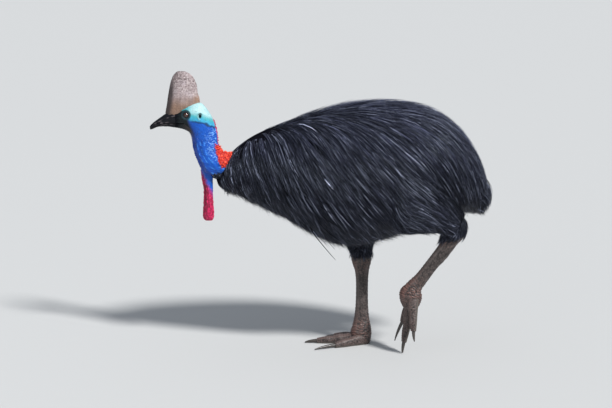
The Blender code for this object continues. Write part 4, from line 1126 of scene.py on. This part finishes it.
def make_skin(material):
    """One skin from bill to claws, which takes the place of the nodes of flesh."""
    parts = []
    marks = []

    def add(grid, colours):
        parts.append(solid("flesh", grid))
        marks.append((grid.points, colours))

    add(*make_head_and_neck())
    for side in SIDES:
        add(*make_wattle(side))
        add(*make_shank(side))
        for _, toe, _, place in foot_places(side):
            add(*make_toe(toe, place))
    for stations, rings, sides in zip(core_stations(), (70, 26, 26), (72, 40, 40)):
        grid = Grid(stations, rings, sides)
        add(grid, np.tile(UNDER_PLUMES, (len(grid.points), 1)))
    for side in SIDES:
        lids, points, colours = make_lids(side)
        parts.append(lids)
        marks.append((points, colours))
    skin = boolean_union(parts[0], parts[1:])
    skin.name = "skin"
    places = np.concatenate([points for points, _ in marks])
    colours = np.concatenate([values for _, values in marks])
    tree = KDTree(len(places))
    for i, point in enumerate(places):
        tree.insert(point, i)
    tree.balance()
    nearest = [tree.find(vertex.co)[1] for vertex in skin.data.vertices]
    paint(skin, colours[nearest])
    nodes = ["head", "neck", "neck_caruncle", "wattle_left", "wattle_right", "breast", "torso", "tail"]
    for side in ("left", "right"):
        nodes += [f"{what}_{side}" for what in ("thigh", "shank")]
        nodes += [f"toe_{side}_{which}" for which in ("inner", "middle", "outer")]
    return finish(skin, "neck_skin", material, *nodes)


# Coat

def loft_tree(stations, rings=48, sides=48):
    obj = solid("guide", Grid(stations, rings, sides))
    points = [v.co.copy() for v in obj.data.vertices]
    faces = [tuple(p.vertices) for p in obj.data.polygons]
    bpy.data.objects.remove(obj)
    return BVHTree.FromPolygons(points, faces)


def height_over(tree, point):
    """The nearest point of a closed surface, its normal, and the height over it, negative inside."""
    near, normal, _, _ = tree.find_nearest(point)
    apart = (point - near).length
    if (point - near).dot(normal) < 0 and crossings(tree, point) % 2:
        apart = -apart
    return near, normal, apart


def crossings(tree, point):
    """How often a ray from a point crosses a surface."""
    count = 0
    hit = tree.ray_cast(point, RAY)[0]
    while hit is not None:
        count += 1
        hit = tree.ray_cast(hit + RAY * 1e-5, RAY)[0]
    return count


def hidden(tree, point):
    return height_over(tree, point)[2] < -0.002


class Body:
    """Several lofts as one surface."""

    def __init__(self, stations_list):
        self.trees = [loft_tree(stations) for stations in stations_list]

    def nearest(self, point):
        """The nearest point of the joined surface, with its normal and the height over it."""
        return min((height_over(tree, point) for tree in self.trees), key=lambda found: found[2])


def thigh_hock(point):
    """The hock that the plumes run to at a point on a thigh, and None elsewhere."""
    if point.y < -THIGH_Y and point.x > 0.30 and point.z < 0.70 - 1.2 * max(0.0, point.x - 0.40):
        return LEFT_HOCK
    if point.y > THIGH_Y and 0.0 < point.x < 0.24 and point.z < 0.42:
        return RIGHT_HOCK
    return None


def lie_at(point, normal):
    """The way that the plumes run at a point on the body."""
    hock = thigh_hock(point)
    if hock is not None:
        toward = hock - point
    else:
        flatter = 1 - BACK_FLATTENS * float(smooth(np.array(point.z), *BACK_Z))
        angle = math.radians(float(table_at(LIE_ANGLES, point.x))) * flatter
        toward = Vector((math.cos(angle), 0, -math.sin(angle)))
    flat = toward - normal * toward.dot(normal)
    return flat.normalized() if flat.length > 1e-4 else Vector((1, 0, 0))


def map_place(left, width, at, angle):
    return left + width * at, 0.01 + 0.97 * angle / TURN


def clump_roots(draw):
    """Roots over the three lofts of the core: point, normal and place in the map."""
    cores = core_stations()
    trees = [loft_tree(stations) for stations in cores]
    roots = []

    def add(tree, point, place):
        if not any(hidden(other, point) for other in trees if other is not tree):
            roots.append((point, tree.find_nearest(point)[1], place))

    angles = np.linspace(0, TURN, ROOT_ANGLES)
    for stations, tree, edges in zip(cores, trees, ROOT_MAP):
        for place in np.linspace(0.004, 0.996, ROOT_RINGS):
            ring = loft(stations, np.full(ROOT_ANGLES, place), angles)
            lengths = np.linalg.norm(np.diff(ring, axis=0), axis=1)
            step = np.array((place, min(place + 1 / ROOT_RINGS, 1.0)))
            over, under = (loft(stations, step, np.full(2, angle)) for angle in (0.0, np.pi))
            span = (np.linalg.norm(over[1] - over[0]) + np.linalg.norm(under[1] - under[0])) / 2
            total = np.concatenate(([0], np.cumsum(lengths) / lengths.sum()))
            for share in draw.random(draw.poisson(lengths.sum() * span / CLUMP_SPACING ** 2)):
                angle = float(np.interp(share, total, angles))
                point = Vector(loft(stations, np.array((place,)), np.array((angle,)))[0])
                add(tree, point, map_place(*edges, place, angle))
    for which, end, count, left in CAP_CLUMPS:
        for point, share, angle in cap_points(cores[which], end, count, draw):
            add(trees[which], point, map_place(left, 0.01, share, angle))
    return roots


def cap_points(stations, end, count, draw):
    """Points spread over the flat end of a loft, each with its share of the way out and angle."""
    for _ in range(count):
        angle = draw.uniform(0, TURN)
        share = math.sqrt(draw.random())
        a, b = loft(stations, np.full(2, float(end)), np.array((angle, angle + math.pi)))
        yield Vector((a + b) / 2 + (a - b) / 2 * share), share, angle


def tail_tufts(draw):
    """Clumps that leave the flat end of the core and close in on the ragged tip of the tail."""
    stations = core_stations()[0]
    low, high = stations[-1][1], stations[-1][3]
    paths, maps = [], []
    for root, share, angle in cap_points(stations, 1, TAIL_TUFTS, draw):
        height = (root.z - low) / (high - low)
        end_z = 0.522 + 0.045 * height + draw.uniform(-0.012, 0.020)
        end = Vector((0.614 + 0.037 * height, root.y * 0.7, end_z))
        bend = Vector((max(root.x + 0.020, end.x + 0.004), root.y, 0.55 * root.z + 0.45 * end.z))
        out = Vector((1.0, 4 * root.y, 0.15)).normalized()
        path = []
        for t in np.linspace(0, 1, CLUMP_STEPS + 1):
            path.append((root * (1 - t) ** 2 + bend * (2 * t * (1 - t)) + end * t ** 2, out))
        paths.append(path)
        maps.append(map_place(0.575, 0.01, share, angle))
    return paths, maps


def clump_path(root, normal, length, limit, core, outline):
    """Points along a clump's middle, and the way up from the body at each.

    It ends where it would pass the outline by more than the limit.
    """
    way = lie_at(root, normal)
    point = root
    middle = root - normal * 0.003
    path = [(middle.copy(), normal.copy())]
    free = False
    for k in range(1, CLUMP_STEPS + 1):
        step = length / CLUMP_STEPS
        if free:
            way = (way + Vector((0, 0, -GRAVITY))).normalized()
            middle = middle + way * step
        else:
            point, normal, _ = core.nearest(point + way * step)
            way = (way + lie_at(point, normal) * 2).normalized()
            _, _, depth = outline.nearest(point)
            room = min(max(-depth, 0.004), CORE_INSET * 1.4)
            rise = smooth(np.array(k / CLUMP_STEPS), -0.05, 1.05)
            middle = point + normal * (room * float(rise))
            free = k >= CLUMP_STEPS / 3 and normal.z < FREE_SLOPE
        over = outline.nearest(middle)[2]
        if over > OVERSHOOT and k > CLUMP_STEPS / 3:
            way = (way + Vector((0, 0, -0.5))).normalized()
            if over > limit:
                break
        path.append((middle.copy(), normal.copy()))
    return path


def make_strands(
    paths, maps, draw, strands=CLUMP_STRANDS, spread=CLUMP_SPREAD, width=PLUME_HALF_WIDTH, rise=CLUMP_RISE
):
    """Three-sided tapering strands about the clumps' paths, as arrays of points, faces and marks."""
    count = len(paths)
    steps = CLUMP_STEPS + 1
    line = np.zeros((count, steps, 3))
    ups = np.zeros((count, steps, 3))
    for i, path in enumerate(paths):
        at = np.linspace(0, len(path) - 1, steps)
        points = np.array([p for p, _ in path])
        normals = np.array([n for _, n in path])
        for axis in range(3):
            line[i, :, axis] = np.interp(at, np.arange(len(path)), points[:, axis])
            ups[i, :, axis] = np.interp(at, np.arange(len(path)), normals[:, axis])
    owner = np.repeat(np.arange(count), strands)
    total = len(owner)
    ahead = unit(np.gradient(line, axis=1))
    across = unit(np.cross(ahead, ups))
    lift = np.cross(across, ahead)
    side_shift = draw.normal(0, spread / 2, total)
    fore_shift = draw.uniform(-0.5, 0.5, total) * spread * 1.4
    depth = draw.uniform(-0.75, 0.10, total)
    reach = draw.uniform(0.70, 1.04, total)
    swing = draw.normal(0, spread * 0.55, total)
    bend = draw.uniform(0, TURN, total)
    places = np.array([place for place, _ in PLUME_PROFILE] + [1.0])
    widths = np.array([width for _, width in PLUME_PROFILE])
    rings = []
    for place in places:
        t = place * reach * (steps - 1)
        low = np.minimum(t.astype(int), steps - 2)
        f = (t - low)[:, None]
        centre = line[owner, low] * (1 - f) + line[owner, low + 1] * f
        side = across[owner, low]
        up = lift[owner, low]
        gather = 1 - CLUMP_GATHER * place
        room = rise * smooth(np.array(place), 0.0, 0.9)
        wiggle = spread * 0.16 * np.sin(bend + 5 * place)
        centre = centre + side * (side_shift * gather + swing * place ** 2 + wiggle * place)[:, None]
        centre = centre + up * (depth * room)[:, None]
        centre = centre + ahead[owner, low] * (fore_shift * (1 - place))[:, None]
        rings.append((centre, side, up))
    size = width * draw.uniform(0.6, 1.35, total)
    corners = []
    for (centre, side, up), share in zip(rings, widths):
        half = (size * share)[:, None]
        corners += [centre - side * half, centre + side * half, centre + up * half * 0.7]
    corners.append(rings[-1][0])
    points = np.stack(corners, 1)
    per = points.shape[1]
    ring_count = len(widths)
    faces = [(0, 2, 1)]
    for k in range(ring_count - 1):
        for s in range(3):
            a, b = 3 * k + s, 3 * k + (s + 1) % 3
            faces += [(a, b, b + 3), (a, b + 3, a + 3)]
    a = 3 * (ring_count - 1)
    faces += [(a, a + 1, per - 1), (a + 1, a + 2, per - 1), (a + 2, a, per - 1)]
    roots = line[owner, 0]
    shade = np.exp(draw.normal(0, 0.58, total)) * np.exp(draw.normal(0, 0.34, count))[owner]
    # painted shade: strands rooted along the fold behind the left thigh are darkened
    shade *= 1 - 0.62 * crease_shade_share(roots)
    # painted highlight: a random share of strands are lightened towards silver, except along the fold
    silver_highlight = (draw.random(total) < 0.22) * draw.uniform(0.2, 0.9, total) * (1 - crease_shade_share(roots))
    # painted sheen: strands rooted high on the back are lighter and bluer, as a reflection of the sky
    sheen = smooth(roots[:, 2], 0.78, 0.92) * draw.uniform(0.2, 0.8, total)
    tint = mix(mix(PLUME, BACK_SHEEN, sheen), SILVER_HIGHLIGHT, silver_highlight) * shade[:, None]
    centre_uv = np.array(maps)[owner] + draw.uniform(-0.002, 0.002, (total, 2))
    return points, np.array(faces), tint, centre_uv


def strand_pieces(name, points, faces, tint, centre_uv, material):
    """Joins the strands in pieces under the limit, each with its map and markings."""
    per, triangles = points.shape[1], len(faces)
    most = PIECE_TRIANGLES // triangles
    along = np.arange(per) // 3 / (per // 3)
    cross = np.array([0, 1, 0.5] * (per // 3) + [0.5])
    patch = np.stack((cross, along), -1) * PATCH - PATCH / 2
    for n, start in enumerate(range(0, len(points), most)):
        some = points[start:start + most]
        count = len(some)
        corner = (faces[None] + per * np.arange(count)[:, None, None]).reshape(-1, 3)
        obj = new_mesh(f"{name}_{n}", some.reshape(-1, 3), [corner])
        tone = tint[start:start + count, None] * (0.8 + 0.35 * along)[None, :, None]
        paint(obj, tone.reshape(-1, 3))
        layer = obj.data.uv_layers.new(name="OFBake")
        uv = (centre_uv[start:start + count, None] + patch[None]).reshape(-1, 2)
        loops = np.zeros(len(obj.data.loops), np.int32)
        obj.data.loops.foreach_get("vertex_index", loops)
        layer.data.foreach_set("uv", np.clip(uv, 0, 1)[loops].astype(np.float32).ravel())
        finish(obj, "plumage", material)


def crease_shade_share(points):
    """1 along the fold between the left thigh and the skirt of the tail, where the plumes get painted shade.
    """
    t, apart = to_segment(points[:, (0, 2)], *np.array(CREASE))
    return hill(apart, 0.014 + 0.016 * t) * smooth(t, 0.0, 0.3) * (points[:, 1] < -0.04)


def short_path(root, way, length, rise, body):
    """A short clump's middle, which follows the skin and stands a little off it."""
    point = root
    _, normal, _ = body.nearest(point)
    path = [(point - normal * 0.002, normal.copy())]
    for k in range(1, SHORT_STEPS + 1):
        along = way - normal * way.dot(normal)
        point, normal, _ = body.nearest(point + along.normalized() * (length / SHORT_STEPS))
        path.append((point + normal * (rise * k / SHORT_STEPS), normal.copy()))
    return path


def short_plumes(draw):
    """Short plumes at the coat's edges: on the neck's base and on the two hocks."""
    paths, maps = [], []
    for stations, first, last, sides, spacing, left, length, way in SHORT_COATS:
        body = Body([stations])
        count = len(stations) - 1
        grid = Grid(stations, 0, sides, places=np.linspace(first / count, last / count, 60))
        spots = grid.points.reshape(*grid.shape, 3)
        wide = np.linalg.norm(np.roll(spots, -1, 1) - spots, axis=-1)
        tall = np.linalg.norm(np.gradient(spots, axis=0), axis=-1)
        chance = np.minimum(wide * tall / spacing ** 2, 1).ravel()
        taken = draw.random(len(chance)) < chance
        if stations is HEAD_AND_NECK:
            taken &= plumed(grid.points) > -0.002
        for i in np.flatnonzero(taken):
            root = Vector(grid.points[i])
            here = length * draw.uniform(0.6, 1.15)
            paths.append(short_path(root, way, here, 0.006 + 0.006 * draw.random(), body))
            maps.append(map_place(left, SHORT_MAP[1], grid.at[i], grid.angle[i]))
    return paths, maps


def bristles(draw):
    """Sparse hair-like bristles on the bare crown, nape and throat."""
    grid = Grid(HEAD_AND_NECK, 200, 80)
    body = Body([HEAD_AND_NECK])
    around = (grid.number > 2.4) & (grid.number < 9.0) & (eye_distance(grid.points) > 0.026)
    around &= ear_distance(grid.points) > 2.6
    spots = draw.choice(np.flatnonzero(around), BRISTLES, replace=False)
    way = Vector((0.6, 0, -0.75))
    paths = [short_path(Vector(grid.points[i]), way, draw.uniform(0.006, 0.013), 0.003, body) for i in spots]
    maps = [map_place(*SHORT_MAP, grid.at[i], grid.angle[i]) for i in spots]
    return paths, maps


def make_coat(material):
    draw = np.random.default_rng(COAT_SEED)
    core = Body(core_stations())
    outline = Body([TORSO, LEFT_THIGH, RIGHT_THIGH])
    neck = loft_tree(HEAD_AND_NECK)
    paths, maps = [], []
    for root, normal, place in clump_roots(draw):
        if hidden(neck, root):
            continue
        on_thigh = thigh_hock(root) is not None
        length = THIGH_PLUME_LENGTH if on_thigh else float(table_at(PLUME_LENGTHS, root.x))
        limit = OVERSHOOT * draw.uniform(0.3, 4.2)
        paths.append(clump_path(root, normal, length * draw.uniform(0.85, 1.12), limit, core, outline))
        maps.append(place)
    tail_paths, tail_maps = tail_tufts(draw)
    paths += tail_paths
    maps += tail_maps
    strand_pieces("plumes", *make_strands(paths, maps, draw), material)
    short = make_strands(*short_plumes(draw), draw, SHORT_STRANDS, *SHORT_PLUME)
    strand_pieces("short_plumes", *short, material)
    bare = make_strands(*bristles(draw), draw, 1, *BRISTLE)
    strand_pieces("bristles", *bare, material)
    return outline


# Wings

def make_wing(side, outline, material):
    """Bare quills that lie over the flank and hang free below it."""
    along = np.linspace(0, 1, QUILL_RINGS)
    angle = round_angles(QUILL_SIDES)
    radius = QUILL_RADIUS * (1 - QUILL_TAPER * along ** 2)
    faces = ring_faces(QUILL_RINGS, QUILL_SIDES)
    tubes, groups = [], []
    for i, (tip_x, tip_z) in enumerate(QUILL_TIPS):
        start_x, start_z = WING_STUB[[0, 2]] + QUILL_STEP * (i - 1, i - 2)
        path = []
        for t in along:
            x = start_x + (tip_x - start_x) * t
            z = start_z + (tip_z - start_z) * t - QUILL_SAG * 4 * t * (1 - t)
            depth = np.interp(smooth(t, 0.50, 0.85), (0, 1), QUILL_DEPTHS)
            path.append(flank_point(outline, side, x, z, depth))
        path = np.array(path)
        for _ in range(QUILL_SMOOTHINGS):
            path[1:-1] = (path[:-2] + path[1:-1] * 2 + path[2:]) / 4
        ahead = unit(np.gradient(path, axis=0))
        across = unit(np.cross(ahead, (0, 1, 0)))
        up = np.cross(across, ahead)
        ring = np.multiply.outer(np.cos(angle), across) + np.multiply.outer(np.sin(angle), up)
        tubes.append((path[:, None] + ring.swapaxes(0, 1) * radius[:, None, None]).reshape(-1, 3))
        groups.append(faces + i * QUILL_RINGS * QUILL_SIDES)
    name = f"wing_{SIDE_NAMES[side]}"
    obj = new_mesh(f"{name}_quills", np.concatenate(tubes), [np.concatenate(groups)])
    return finish(obj, "quill", material, name)


def flank_point(outline, side, x, z, depth):
    for tree in outline.trees:
        hit, normal, _, _ = tree.ray_cast(Vector((x, side * 2.0, z)), Vector((0, -side, 0)))
        if hit is not None and hit.y * side > FLANK_Y:
            return np.array(hit - normal * depth)
    return np.array((x, side * NO_FLANK_Y, z))


# Stage

def make_stage():
    corner_signs = np.array(((-1, -1, 0), (1, -1, 0), (1, 1, 0), (-1, 1, 0)), float)
    floor = new_mesh("floor", corner_signs * FLOOR_REACH, [np.array(((0, 1, 2, 3),))])
    floor.data.materials.append(Surface("floor", 0.9, specular=0.2, colour=FLOOR_GREY).made)
    floor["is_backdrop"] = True
    world = bpy.data.worlds.new("studio")
    world.use_nodes = True
    sky = world.node_tree.nodes["Background"]
    sky.inputs["Color"].default_value = SKY
    sky.inputs["Strength"].default_value = SKY_STRENGTH
    bpy.context.scene.world = world
    for name, kind, place, energy in LAMPS:
        light = bpy.data.lights.new(name, kind)
        light.energy = energy
        if kind == "SUN":
            light.angle = math.radians(10)
        else:
            light.size = 3.0
        lamp = bpy.data.objects.new(name, light)
        lamp.location = place
        lamp.rotation_euler = (LAMPS_AIM - Vector(place)).to_track_quat("-Z", "Y").to_euler()
        bpy.context.scene.collection.objects.link(lamp)


def make_camera():
    data = bpy.data.cameras.new("camera")
    data.sensor_fit = "HORIZONTAL"
    data.angle = 2 * CAMERA_HALF_VIEW
    camera = bpy.data.objects.new("camera", data)
    camera.location = CAMERA_PLACE
    camera.rotation_euler = (CAMERA_PITCH, 0, 0)
    bpy.context.scene.collection.objects.link(camera)
    bpy.context.scene.camera = camera


def corners(box):
    return [list(corner) for corner in box]


bpy.context.scene.view_settings.view_transform = "Standard"
make_camera()
make_stage()
make_skin(skin_surface())
make_casque(casque_surface())
make_bill(horn_surface("bill_horn", None, 0.32, (0.5, 2.0, 2.0), coat=0.05))
eye_material = eye_surface()
claw_material = horn_surface("claw_horn", CLAW_BROWN, 0.38, (0.5, 2.0, 2.0))
quill_material = horn_surface("quill", QUILL_BLACK, 0.55, (1.0, 1.0, 1.0), coat=0.0)
for bird_side in SIDES:
    make_eye(bird_side, eye_material)
    for toe_name, _, claw_rows, toe_place in foot_places(bird_side):
        node_name = f"claw_{SIDE_NAMES[bird_side]}_{toe_name}"
        make_claw(f"{node_name}_horn", claw_rows, toe_place, claw_material, node_name)
coat_outline = make_coat(plume_surface())
for bird_side in SIDES:
    make_wing(bird_side, coat_outline, quill_material)
{"cad": corners(CAD_BOX), "visual": corners(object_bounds())}
